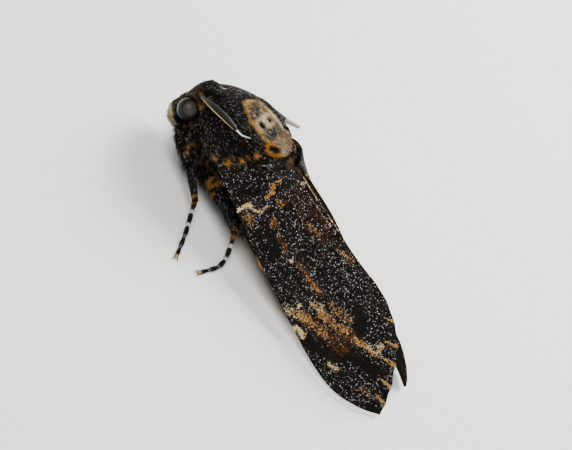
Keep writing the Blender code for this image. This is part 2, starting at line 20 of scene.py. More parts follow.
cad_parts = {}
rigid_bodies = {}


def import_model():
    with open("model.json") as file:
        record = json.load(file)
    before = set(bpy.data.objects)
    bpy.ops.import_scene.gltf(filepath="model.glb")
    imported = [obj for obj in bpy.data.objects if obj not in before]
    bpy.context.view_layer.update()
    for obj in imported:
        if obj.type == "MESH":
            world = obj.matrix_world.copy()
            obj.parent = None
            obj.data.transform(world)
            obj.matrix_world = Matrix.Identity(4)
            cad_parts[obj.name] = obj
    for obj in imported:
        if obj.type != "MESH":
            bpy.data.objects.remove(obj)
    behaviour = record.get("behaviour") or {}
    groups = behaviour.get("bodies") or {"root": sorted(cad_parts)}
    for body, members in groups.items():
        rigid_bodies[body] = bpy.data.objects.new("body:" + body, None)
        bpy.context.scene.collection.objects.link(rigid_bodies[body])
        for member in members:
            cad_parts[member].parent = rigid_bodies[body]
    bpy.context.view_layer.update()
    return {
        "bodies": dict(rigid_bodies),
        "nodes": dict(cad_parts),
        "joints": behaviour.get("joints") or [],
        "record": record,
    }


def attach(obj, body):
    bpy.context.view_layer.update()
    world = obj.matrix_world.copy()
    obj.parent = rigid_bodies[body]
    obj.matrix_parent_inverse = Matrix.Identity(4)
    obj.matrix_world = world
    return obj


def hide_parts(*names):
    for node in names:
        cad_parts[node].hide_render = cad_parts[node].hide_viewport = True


LOG = logging.getLogger("hawkmoth")
MM = 0.001
GAP = 0.3
SKIN_CLEARANCE = 0.03
CLAW_CLEARANCE = 0.02
BODY = "root"
SEED = 8127
Array = np.ndarray
Material = bpy.types.Material
Triple = tuple[float, float, float]
Colour = Triple

# The forewing's four edges, as in the solids.
WING_COSTA = [
    (17.6, 8.85, 9.2), (12.5, 10.0, 7.8), (7.1, 11.0, 6.5), (1.0, 12.0, 5.1), (-4.9, 12.8, 3.85),
    (-8.3, 13.2, 3.1), (-12.8, 13.5, 2.1), (-18.0, 14.0, 1.1), (-22.9, 14.3, 0.72), (-25.9, 13.7, 0.66),
    (-28.5, 12.3, 0.62), (-30.9, 10.5, 0.6), (-33.7, 7.4, 0.62),
]
WING_INNER = [
    (9.8, 0.6, 16.6), (4.2, 0.4, 16.05), (-1.0, 0.4, 15.2), (-6.2, 0.4, 14.2), (-10.9, 0.4, 13.6),
    (-14.3, 0.4, 13.5),
]
WING_ROOT = [
    (17.6, 8.85, 9.2), (16.6, 9.2, 11.6), (14.6, 8.8, 14.2), (12.2, 6.8, 15.8), (10.8, 3.8, 16.3),
    (9.8, 0.6, 16.6),
]
WING_TERMEN = [
    (-33.7, 7.4, 0.62), (-32.6, 6.6, 2.85), (-31.0, 5.6, 5.3), (-28.6, 4.3, 8.05), (-26.4, 2.9, 10.2),
    (-23.5, 2.1, 11.7), (-20.1, 1.1, 12.8), (-17.0, 0.6, 13.3), (-14.3, 0.4, 13.5),
]
WING_BOW = 0.25
WING_BOW_WAY = (0.0, 0.68, 0.73)
WING_CLEARANCE = 0.62
RIGHT_TUCK = (0.36, 0.26)
RIGHT_TUCK_FROM, RIGHT_TUCK_TO = 1.0, -24.0
# Each vein is (b at the margin, a where it starts).
WING_VEINS = [(0.085, 0.0), (0.225, 0.42), (0.37, 0.42), (0.51, 0.42), (0.66, 0.0), (0.82, 0.26), (0.96, 0.0)]

LEGS = {
    "fore_left": [
        (24.2, 2.9, 5.4), (27.6, 4.7, 5.4), (22.9, 7.2, 4.7), (16.8, 11.2, 2.6), (15.5, 13.5, 1.75),
        (13.7, 16.9, 0.85), (12.3, 20.6, 0.42), (11.2, 24.1, 0.3),
    ],
    "fore_right": [
        (24.2, -2.9, 5.4), (27.6, -4.7, 5.4), (25.2, -9.4, 6.6), (23.6, -15.0, 3.0), (24.5, -17.6, 1.6),
        (25.8, -20.3, 0.72), (27.3, -22.4, 0.42), (28.8, -24.4, 0.3),
    ],
    "mid_left": [
        (19.5, 2.9, 5.5), (20.6, 4.7, 3.7), (14.5, 7.7, 5.3), (7.9, 10.0, 3.8), (6.7, 11.3, 2.3),
        (5.6, 12.8, 1.0), (5.2, 15.6, 0.45), (5.9, 19.0, 0.36), (6.7, 21.9, 0.3),
    ],
    "mid_right": [
        (19.5, -2.9, 5.5), (20.6, -4.7, 3.7), (14.3, -7.9, 5.2), (7.6, -10.4, 3.6), (6.2, -12.2, 2.1),
        (4.9, -14.4, 0.9), (4.0, -17.2, 0.45), (3.4, -20.0, 0.36), (3.0, -22.6, 0.3),
    ],
    "hind_left": [
        (14.6, 3.0, 4.9), (13.6, 4.5, 3.3), (7.6, 6.8, 4.2), (-1.4, 7.1, 2.1), (-3.4, 7.0, 1.2),
        (-5.8, 6.8, 0.6), (-8.6, 6.5, 0.36), (-11.4, 6.1, 0.3),
    ],
    "hind_right": [
        (14.6, -3.0, 4.9), (13.6, -4.5, 3.3), (7.3, -6.8, 4.2), (-1.7, -7.1, 2.1), (-3.8, -7.0, 1.2),
        (-6.3, -6.7, 0.6), (-9.0, -6.3, 0.36), (-11.8, -5.8, 0.3),
    ],
}
ANTENNA_RADII = [0.3, 0.42, 0.56, 0.64, 0.66, 0.6, 0.46, 0.3, 0.16]
ANTENNA_PATHS = {
    "left": [
        (30.4, 3.2, 12.9), (28.5, 5.1, 14.3), (26.3, 6.8, 15.7), (23.5, 8.1, 16.8), (21.0, 8.5, 17.15),
        (19.9, 8.55, 17.4), (18.7, 8.6, 18.3),
    ],
    "right": [
        (30.4, -3.2, 12.9), (28.3, -5.5, 13.5), (25.6, -7.5, 13.9), (22.6, -8.8, 14.4),
        (19.6, -9.25, 14.9), (17.3, -9.5, 15.5), (14.9, -10.0, 16.3),
    ],
}
EYE_CENTRE = (30.15, 3.6, 9.25)
EYE_RADIUS = 2.05


class Shade(Enum):
    """The colours of the moth's scales and hair, in linear light."""

    BLACK = (0.0035, 0.0032, 0.0031)
    SOOT = (0.011, 0.0093, 0.0082)
    BROWN = (0.06, 0.036, 0.018)
    GREY_BROWN = (0.105, 0.08, 0.05)
    SLATE = (0.1, 0.105, 0.12)
    WHITE = (0.7, 0.68, 0.64)
    CREAM = (0.66, 0.46, 0.2)
    IVORY = (0.74, 0.6, 0.38)
    ROSE = (0.5, 0.35, 0.2)
    OCHRE = (0.42, 0.19, 0.035)
    ORANGE = (0.4, 0.135, 0.016)
    RUST = (0.15, 0.042, 0.009)
    YELLOW = (0.55, 0.28, 0.035)


def smooth(value: Array) -> Array:
    """A step from 0 to 1 with soft ends, for values or arrays."""
    t = np.clip(value, 0.0, 1.0)
    return t * t * (3.0 - 2.0 * t)


def rise(value: Array, start: float, reach: float) -> Array:
    """0 up to start, and softly 1 from start + reach on."""
    return smooth((value - start) / reach)


def fall(value: Array, end: Array | float, reach: float) -> Array:
    """1 up to end - reach, and softly 0 from end on."""
    return smooth((end - value) / reach)


def ripple(points: Array, scale: float, seed: int) -> Array:
    """Smooth random values over space.

    Args:
        points: places, one row each.
        scale: ripples to the millimetre.
        seed: the draw that is used.

    Returns:
        One value from 0 to 1 for each place.
    """
    spot = points * scale + 911.0 + seed * 17.3
    cell = np.floor(spot).astype(np.int64)
    part = spot - cell
    part = part * part * (3.0 - 2.0 * part)
    total = np.zeros(len(points))
    for corner in range(8):
        step = np.array([(corner >> k) & 1 for k in range(3)])
        at = cell + step
        mixed = (at[:, 0] * 73856093) ^ (at[:, 1] * 19349663) ^ (at[:, 2] * 83492791) ^ (seed * 2654435761)
        mixed = (mixed ^ (mixed >> 13)) * 1274126177 & 0x7FFFFFFF
        value = (mixed % 65536) / 65535.0
        share = np.prod(np.where(step == 1, part, 1.0 - part), axis=1)
        total += value * share
    return total


def plain(shade: Shade | Colour, count: int) -> Array:
    """One colour for many places."""
    return np.tile(np.array(shade.value if isinstance(shade, Shade) else shade), (count, 1))


class Paint:
    """The colours of many places, laid over one another."""

    def __init__(self, colours: Array) -> None:
        """Keeps the colours to start with."""
        self.colours = colours

    def lay(self, *layers: tuple[Shade | Colour | Array, Array]) -> "Paint":
        """Lays colours over the others, in turn.

        Args:
            layers: each one's colour, and its share at each place.

        Returns:
            The same paint.
        """
        for over, share in layers:
            top = np.array(over.value if isinstance(over, Shade) else over)
            self.colours = self.colours * (1.0 - share[:, None]) + top * share[:, None]
        return self


def raised(points: Array, least: float) -> Array:
    """The points, with none lower than the least height."""
    return np.maximum(points, (-math.inf, -math.inf, least))


def unit(vectors: Array) -> Array:
    """The vectors at length one."""
    return vectors / np.maximum(np.linalg.norm(vectors, axis=-1, keepdims=True), 1e-9)


class Curve:
    """A smooth curve through points, run by a share of its length, as the solids are made."""

    def __init__(self, points: Sequence[Sequence[float]]) -> None:
        """Keeps the points, and the way the curve runs through each.

        Args:
            points: the points that it goes through.
        """
        self.points = np.array(points, float)
        chords = np.linalg.norm(np.diff(self.points[:, :3], axis=0), axis=1)
        self.lengths = np.concatenate([[0.0], np.cumsum(chords)])
        count = len(self.points)
        before = np.maximum(np.arange(count) - 1, 0)
        after = np.minimum(np.arange(count) + 1, count - 1)
        run = self.lengths[after] - self.lengths[before]
        self.slopes = (self.points[after] - self.points[before]) / run[:, None]

    def at(self, shares: Array | float) -> Array:
        """The curve's values at shares of its length, carried straight on past its ends.

        Args:
            shares: shares of the length.

        Returns:
            One row for each share.
        """
        length = np.atleast_1d(np.asarray(shares, float)) * self.lengths[-1]
        i = np.clip(np.searchsorted(self.lengths, length, side="left") - 1, 0, len(self.points) - 2)
        run = self.lengths[i + 1] - self.lengths[i]
        t = (length - self.lengths[i]) / run
        s = np.clip(t, 0.0, 1.0)[:, None]
        run_column = run[:, None]
        inside = (
            (2 * s**3 - 3 * s**2 + 1) * self.points[i]
            + (s**3 - 2 * s**2 + s) * run_column * self.slopes[i]
            + (3 * s**2 - 2 * s**3) * self.points[i + 1]
            + (s**3 - s**2) * run_column * self.slopes[i + 1]
        )
        early = np.minimum(length - self.lengths[0], 0.0)[:, None] * self.slopes[0]
        late = np.maximum(length - self.lengths[-1], 0.0)[:, None] * self.slopes[-1]
        return inside + early + late


def make_piece(
    name: str,
    points: Array,
    faces: Array,
    material: Material,
    values: dict[str, Array] | None = None,
    bake_map: Array | None = None,
) -> bpy.types.Object:
    """Makes an object from points in millimetres.

    Args:
        name: the piece's name.
        points: its points, one row each; any below the floor are raised to it.
        faces: its faces, all triangles or all with four corners.
        material: its finish.
        values: named values for each point, one number or three.
        bake_map: a place in the unwrap for each corner of each face.

    Returns:
        The object, linked to the scene and smooth.
    """
    mesh = bpy.data.meshes.new(name)
    count, corners = faces.shape
    mesh.vertices.add(len(points))
    set_points(mesh, raised(points, 0.0))
    mesh.loops.add(count * corners)
    mesh.loops.foreach_set("vertex_index", faces.astype(np.int32).ravel())
    mesh.polygons.add(count)
    mesh.polygons.foreach_set("loop_start", np.arange(0, count * corners, corners, dtype=np.int32))
    mesh.update(calc_edges=True)
    mesh.shade_smooth()
    for key, rows in (values or {}).items():
        name_values(mesh, key, rows)
    if bake_map is not None:
        layer = mesh.uv_layers.new(name="OFBake")
        layer.data.foreach_set("uv", bake_map.astype(np.float32).ravel())
    mesh.materials.append(material)
    piece = bpy.data.objects.new(name, mesh)
    bpy.context.scene.collection.objects.link(piece)
    return piece


def set_points(mesh: bpy.types.Mesh, points: Array) -> None:
    """Moves a mesh's points to places in millimetres."""
    mesh.vertices.foreach_set("co", (points * MM).astype(np.float32).ravel())


def name_values(mesh: bpy.types.Mesh, key: str, rows: Array) -> None:
    """Gives a mesh's points a named value.

    Args:
        mesh: the mesh.
        key: the value's name.
        rows: one number or three for each point.
    """
    wide = rows.ndim == 2
    made = mesh.attributes.new(key, "FLOAT_VECTOR" if wide else "FLOAT", "POINT")
    made.data.foreach_set("vector" if wide else "value", rows.astype(np.float32).ravel())


def mesh_arrays(mesh: bpy.types.Mesh) -> tuple[Array, Array]:
    """Reads a mesh.

    Args:
        mesh: the mesh.

    Returns:
        Its points in millimetres and its triangles.
    """
    points = np.empty(len(mesh.vertices) * 3, np.float32)
    mesh.vertices.foreach_get("co", points)
    mesh.calc_loop_triangles()
    triangles = np.empty(len(mesh.loop_triangles) * 3, np.int32)
    mesh.loop_triangles.foreach_get("vertices", triangles)
    return points.reshape(-1, 3).astype(float) / MM, triangles.reshape(-1, 3)


def point_normals(mesh: bpy.types.Mesh) -> Array:
    """Reads the way out of a mesh.

    Args:
        mesh: the mesh.

    Returns:
        One way for each of its points.
    """
    ways = np.empty(len(mesh.vertices) * 3, np.float32)
    mesh.vertex_normals.foreach_get("vector", ways)
    return ways.reshape(-1, 3).astype(float)


def keep_piece(piece: bpy.types.Object, slot: str, *nodes: str) -> None:
    """Seats a piece on the body, and says what it is.

    Args:
        piece: the piece.
        slot: not used.
        nodes: the nodes that it stands for.
    """
    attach(piece, BODY)
    if nodes:
        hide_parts(*nodes)
    LOG.info("%s: %d faces", piece.name, len(piece.data.polygons))


class Wire:
    """A node's output, used in Python expressions on numbers."""

    def __init__(self, graph: "Graph", socket: bpy.types.NodeSocket) -> None:
        """Keeps the output and the graph that it is in."""
        self.graph = graph
        self.socket = socket

    def maths(self, operation: str, *values: "Wire | float") -> "Wire":
        """A Math node on these values."""
        return self.graph.node("ShaderNodeMath", {"operation": operation}, dict(enumerate(values)))

    def other(self, out: int | str) -> "Wire":
        """Another output of the same node."""
        return Wire(self.graph, self.socket.node.outputs[out])

    def __add__(self, other: "Wire | float") -> "Wire":
        """self + other."""
        return self.maths("ADD", self, other)

    def __radd__(self, other: float) -> "Wire":
        """other + self."""
        return self.maths("ADD", other, self)

    def __sub__(self, other: "Wire | float") -> "Wire":
        """self - other."""
        return self.maths("SUBTRACT", self, other)

    def __rsub__(self, other: float) -> "Wire":
        """other - self."""
        return self.maths("SUBTRACT", other, self)

    def __mul__(self, other: "Wire | float") -> "Wire":
        """self * other."""
        return self.maths("MULTIPLY", self, other)

    def __rmul__(self, other: float) -> "Wire":
        """other * self."""
        return self.maths("MULTIPLY", other, self)

    def __gt__(self, other: "Wire | float") -> "Wire":
        """1 where self is over other."""
        return self.maths("GREATER_THAN", self, other)


class Graph:
    """A material's nodes, made one at a time."""

    def __init__(self, name: str) -> None:
        """Starts a material with its shader alone.

        Args:
            name: the material's name.
        """
        self.material = bpy.data.materials.new(name)
        self.material.use_nodes = True
        self.tree = self.material.node_tree
        self.shader = self.tree.nodes["Principled BSDF"]

    def node(
        self,
        kind: str,
        settings: dict[str, Any] | None = None,
        sockets: dict[int | str, Any] | None = None,
        out: int | str = 0,
    ) -> Wire:
        """Makes a node.

        Args:
            kind: the node's type.
            settings: its settings, set first; stops are a ramp's places and colours.
            sockets: the values or wires of its inputs.
            out: the output that is wanted.

        Returns:
            The output as a wire.
        """
        made = self.tree.nodes.new(kind)
        for key, value in (settings or {}).items():
            if key == "stops":
                ramp = made.color_ramp
                while len(ramp.elements) < len(value):
                    ramp.elements.new(0.5)
                for element, (place, colour) in zip(ramp.elements, value):
                    element.position = place
                    element.color = (*colour, 1.0)
            else:
                setattr(made, key, value)
        for key, value in (sockets or {}).items():
            self.join(made.inputs[key], value)
        return Wire(self, made.outputs[out])

    def join(self, socket: bpy.types.NodeSocket, value: Any) -> None:
        """Links a wire to an input, or sets the input to a value.

        Args:
            socket: the input.
            value: a wire, a colour, a vector or a number.
        """
        if isinstance(value, Wire):
            self.tree.links.new(value.socket, socket)
        elif isinstance(value, Shade):
            socket.default_value = (*value.value, 1.0)
        elif isinstance(value, tuple) and len(value) == 3 and len(socket.default_value) == 4:
            socket.default_value = (*value, 1.0)
        else:
            socket.default_value = value

    def number(self, name: str) -> Wire:
        """The piece's named value of one number."""
        return self.node("ShaderNodeAttribute", {"attribute_name": name}, out="Fac")

    def vector(self, name: str) -> Wire:
        """The piece's named value of three numbers, also as a colour."""
        return self.node("ShaderNodeAttribute", {"attribute_name": name}, out="Vector")

    def place(self) -> Wire:
        """The place on the piece, in millimetres."""
        spot = self.node("ShaderNodeTexCoord", out="Object")
        return self.node("ShaderNodeVectorMath", {"operation": "SCALE"}, {0: spot, "Scale": 1.0 / MM})

    def noise(self, spot: Wire, scale: float, detail: float = 2.0, rough: float = 0.5) -> Wire:
        """Random values about 0.5, with that many to the millimetre."""
        sockets = {"Vector": spot, "Scale": scale, "Detail": detail, "Roughness": rough}
        return self.node("ShaderNodeTexNoise", {"noise_dimensions": "3D"}, sockets)

    def cells(self, spot: Wire, size: float, uneven: float) -> tuple[Wire, Wire, Wire]:
        """Small cells that fill the surface.

        Args:
            spot: the place, in millimetres.
            size: the cells' size.
            uneven: 0 for even cells, 1 for wild ones.

        Returns:
            The distance from each cell's middle, in cells, and two draws from 0 to 1 for each cell.
        """
        sockets = {"Vector": spot, "Scale": 1.0 / size, "Randomness": uneven}
        gone = self.node("ShaderNodeTexVoronoi", {}, sockets, out="Distance")
        draws = self.node("ShaderNodeSeparateColor", {}, {0: gone.other("Color")})
        return gone, draws, draws.other(1)

    def step(self, value: Wire, low: float, high: float) -> Wire:
        """0 below low and 1 above high, with soft ends; low may be over high."""
        sockets = {"Value": value, "From Min": low, "From Max": high}
        return self.node("ShaderNodeMapRange", {"interpolation_type": "SMOOTHSTEP"}, sockets)

    def mix(self, under: Any, over: Any, share: Wire | float) -> Wire:
        """Lays one colour over another."""
        return self.node("ShaderNodeMix", {"data_type": "RGBA"}, {0: share, 6: under, 7: over}, out=2)

    def tint(self, colour: Any, by: Wire) -> Wire:
        """A colour times a number."""
        return self.node("ShaderNodeVectorMath", {"operation": "SCALE"}, {0: colour, "Scale": by})

    def bump(self, height: Wire, reach: float, strength: float = 1.0) -> None:
        """Gives the shader's normal a relief, its height in millimetres."""
        sockets = {"Height": height, "Distance": reach * MM, "Strength": strength}
        self.join(self.shader.inputs["Normal"], self.node("ShaderNodeBump", {}, sockets))

    def finish(self, **sockets: Any) -> Material:
        """Sets the shader's inputs.

        Args:
            sockets: their values or wires by name, with _ for each space.

        Returns:
            The material.
        """
        for key, value in sockets.items():
            self.join(self.shader.inputs[key.replace("_", " ")], value)
        return self.material


@dataclass(frozen=True)
class FurFinish:
    """Hair and scales, coloured point by point by the piece's own tint."""

    name: str
    roughness: float = 0.62
    grain: float = 6.0
    relief: float = 0.05
    gloss: float = 0.04

    def make(self) -> Material:
        """Builds the material.

        Returns:
            The material.
        """
        graph = Graph(self.name)
        spot = graph.place()
        grain = graph.noise(spot, self.grain, 3.0, 0.6)
        colour = graph.tint(graph.vector("tint"), 0.55 + 0.9 * grain)
        graph.bump(grain, self.relief)
        rough = self.roughness + 0.25 * (grain - 0.5)
        return graph.finish(Base_Color=colour, Roughness=rough, Specular_IOR_Level=self.gloss)


@dataclass(frozen=True)
class WingFinish:
    """The forewing's scales: black with white dots, and the cream, ochre and rust marks, with a painted
    highlight along the inner margin in cream.
    """

    name: str
    dot_spacing: float = 0.27
    dot_size: float = 0.35
    scale_size: float = 0.09
    scale_stretch: Triple = (0.6, 1.0, 1.0)
    relief: float = 0.045
    gloss: float = 0.03
    ground: Colour = (0.0026, 0.0023, 0.0022)
    soot: Colour = (0.0075, 0.0064, 0.0055)
    umber: Colour = (0.014, 0.008, 0.0045)
    rust: Colour = (0.066, 0.022, 0.006)
    ochre: Colour = (0.3, 0.155, 0.045)
    cream: Colour = (0.5, 0.35, 0.17)
    dot: Colour = (0.56, 0.55, 0.53)

    def make(self) -> Material:
        """Builds the material.

        Returns:
            The material.
        """
        graph = Graph(self.name)
        chart = graph.vector("chart")
        drift = graph.noise(chart, 0.42, 3.0, 0.55)
        patch = graph.noise(chart, 1.9, 2.0, 0.6)
        stretch = {0: chart, 1: self.scale_stretch}
        long = graph.node("ShaderNodeVectorMath", {"operation": "MULTIPLY"}, stretch)
        _, scale_draw, scale_light = graph.cells(long, self.scale_size, 1.0)
        dot_gone, dot_draw, dot_light = graph.cells(chart, self.dot_spacing, 1.0)
        under = graph.mix(self.ground, self.soot, graph.step(scale_light, 0.5, 0.8))
        under = graph.mix(under, self.umber, 0.45 * graph.step(drift, 0.5, 0.66))
        draw = scale_draw + 0.9 * graph.step(patch, 0.5, 0.72)
        for mark, shade in (("rust", self.rust), ("ochre", self.ochre), ("cream", self.cream)):
            share = graph.step(0.93 * graph.number(mark) - draw, 0.0, 0.06)
            under = graph.mix(under, shade, share)
        marked = graph.number("cream") + graph.number("ochre")
        dots = graph.step(dot_gone, self.dot_size * 1.15, self.dot_size * 0.55)
        dots = dots * ((dot_draw + 0.9 * drift - 0.75 * graph.number("black")) > 0.8)
        dots = dots * (0.08 + 0.92 * dot_light * dot_light) * (1.0 - 0.75 * graph.step(marked, 0.2, 0.7))
        colour = graph.mix(under, self.dot, dots)
        lining = graph.mix(self.umber, Shade.OCHRE, graph.step(graph.number("span"), 0.72, 0.5))
        lining = graph.mix(lining, Shade.SOOT, graph.step(drift, 0.5, 0.62))
        colour = graph.mix(colour, lining, graph.number("below"))
        colour = graph.tint(colour, 0.5 + scale_light)
        graph.bump(0.7 * dots + scale_light, self.relief)
        rough = 0.5 + 0.3 * scale_light
        return graph.finish(Base_Color=colour, Roughness=rough, Specular_IOR_Level=self.gloss)


@dataclass(frozen=True)
class HindwingFinish:
    """The hindwing: ochre yellow, with two dark bands along its margin."""

    name: str
    # Each dark band, as the x where it starts, is full, fades and ends.
    bands: tuple[tuple[float, float, float, float], ...] = (
        (-9.6, -10.4, -12.2, -13.2), (-4.0, -4.8, -5.8, -6.6),
    )
    band_wave: float = 2.2
    relief: float = 0.04

    def make(self) -> Material:
        """Builds the material.

        Returns:
            The material.
        """
        graph = Graph(self.name)
        spot = graph.place()
        fine = graph.noise(spot, 5.0, 2.0, 0.6)
        broad = graph.noise(spot, 0.5, 2.0, 0.5)
        apart = graph.node("ShaderNodeSeparateXYZ", {}, {0: spot})
        run = apart + self.band_wave * (broad - 0.5)
        outer, inner = (graph.step(run, a, b) * graph.step(run, d, c) for a, b, c, d in self.bands)
        dark = outer.maths("MAXIMUM", outer, inner)
        colour = graph.mix(Shade.YELLOW, Shade.OCHRE, graph.step(broad, 0.4, 0.65))
        colour = graph.mix(colour, Shade.SOOT, dark)
        colour = graph.tint(colour, 0.6 + 0.7 * fine)
        graph.bump(fine, self.relief)
        return graph.finish(Base_Color=colour, Roughness=0.55 + 0.3 * fine)


@dataclass(frozen=True)
class EyeFinish:
    """The great eye: glossy, made of fine facets, grey-brown with a dark rim, and a painted bluish reflection
    of the sky on its front.
    """

    name: str
    facet: float = 0.09
    uneven: float = 0.25
    relief: float = 0.006
    # The colour of the painted reflection of the sky.
    sheen: Colour = (0.06, 0.066, 0.084)

    def make(self) -> Material:
        """Builds the material.

        Returns:
            The material.
        """
        graph = Graph(self.name)
        spot = graph.place()
        sockets = {"Vector": spot, "Scale": 1.0 / self.facet, "Randomness": self.uneven}
        facet = graph.node("ShaderNodeTexVoronoi", {}, sockets, out="Distance")
        drift = graph.noise(spot, 0.6, 2.0, 0.5)
        rim = graph.number("rim")
        stops = [
            (0.0, (0.034, 0.027, 0.024)), (0.36, (0.03, 0.025, 0.022)), (0.48, (0.007, 0.006, 0.0055)),
            (0.62, (0.01, 0.0095, 0.0095)), (0.8, (0.004, 0.0038, 0.004)), (1.0, (0.0012, 0.0012, 0.0012)),
        ]
        base = graph.node("ShaderNodeValToRGB", {"stops": stops}, {0: rim + 0.1 * (drift - 0.5)})
        # Painted reflection: the bluish band of sky is laid into the eye's colour.
        colour = graph.mix(base, self.sheen, graph.number("sheen"))
        colour = graph.tint(colour, 1.12 - 0.4 * facet)
        graph.bump(1.0 - facet, self.relief)
        graph.finish(Coat_Roughness=0.3, Specular_IOR_Level=0.1)
        return graph.finish(Base_Color=colour, Roughness=0.3 + 0.1 * drift, Coat_Weight=0.03)


@dataclass(frozen=True)
class HornFinish:
    """Smooth dark horn with paler streaks, for the claws and the tongue."""

    name: str
    dark: Colour = (0.02, 0.013, 0.009)
    pale: Colour = (0.09, 0.045, 0.02)
    roughness: float = 0.32
    relief: float = 0.02

    def make(self) -> Material:
        """Builds the material.

        Returns:
            The material.
        """
        graph = Graph(self.name)
        spot = graph.place()
        streak = graph.noise(spot, 4.0, 3.0, 0.6)
        colour = graph.mix(self.dark, self.pale, graph.step(streak, 0.35, 0.75))
        graph.bump(streak, self.relief)
        return graph.finish(Base_Color=colour, Roughness=self.roughness + 0.2 * streak)


@dataclass(frozen=True)
class FloorFinish:
    """The plain pale floor."""

    name: str
    pale: Colour = (0.74, 0.735, 0.72)
    mottle: float = 0.94
    relief: float = 0.05

    def make(self) -> Material:
        """Builds the material.

        Returns:
            The material.
        """
        graph = Graph(self.name)
        spot = graph.place()
        fine = graph.noise(spot, 0.6, 3.0, 0.6)
        darker = tuple(self.mottle * v for v in self.pale)
        colour = graph.mix(self.pale, darker, graph.step(fine, 0.3, 0.7))
        graph.bump(fine, self.relief)
        return graph.finish(Base_Color=colour, Roughness=0.62 + 0.1 * fine)


def trunk_across(points: Array) -> Array:
    """How far round the trunk from the middle of the back places are, in millimetres, plus on the left."""
    return 6.4 * np.arctan2(points[:, 1], points[:, 2] - 11.2)


@dataclass(frozen=True)
class Oval:
    """A pair of oval marks on the back, given by the left one: its middle, its half sizes and its turn.

    The turn is in degrees, from along the body to outwards.
    """

    x: float
    across: float
    length: float
    width: float
    turn: float = 0.0

    def outside(self, x: Array, across: Array) -> Array:
        """How far out of the pair each place is.

        Args:
            x: places along the body.
            across: places across the back.

        Returns:
            One number for each place: 1 is on the edge.
        """
        dx, dw = x - self.x, np.abs(across) - self.across
        c, s = math.cos(math.radians(self.turn)), math.sin(math.radians(self.turn))
        return np.hypot((dx * c + dw * s) / self.length, (dw * c - dx * s) / self.width)


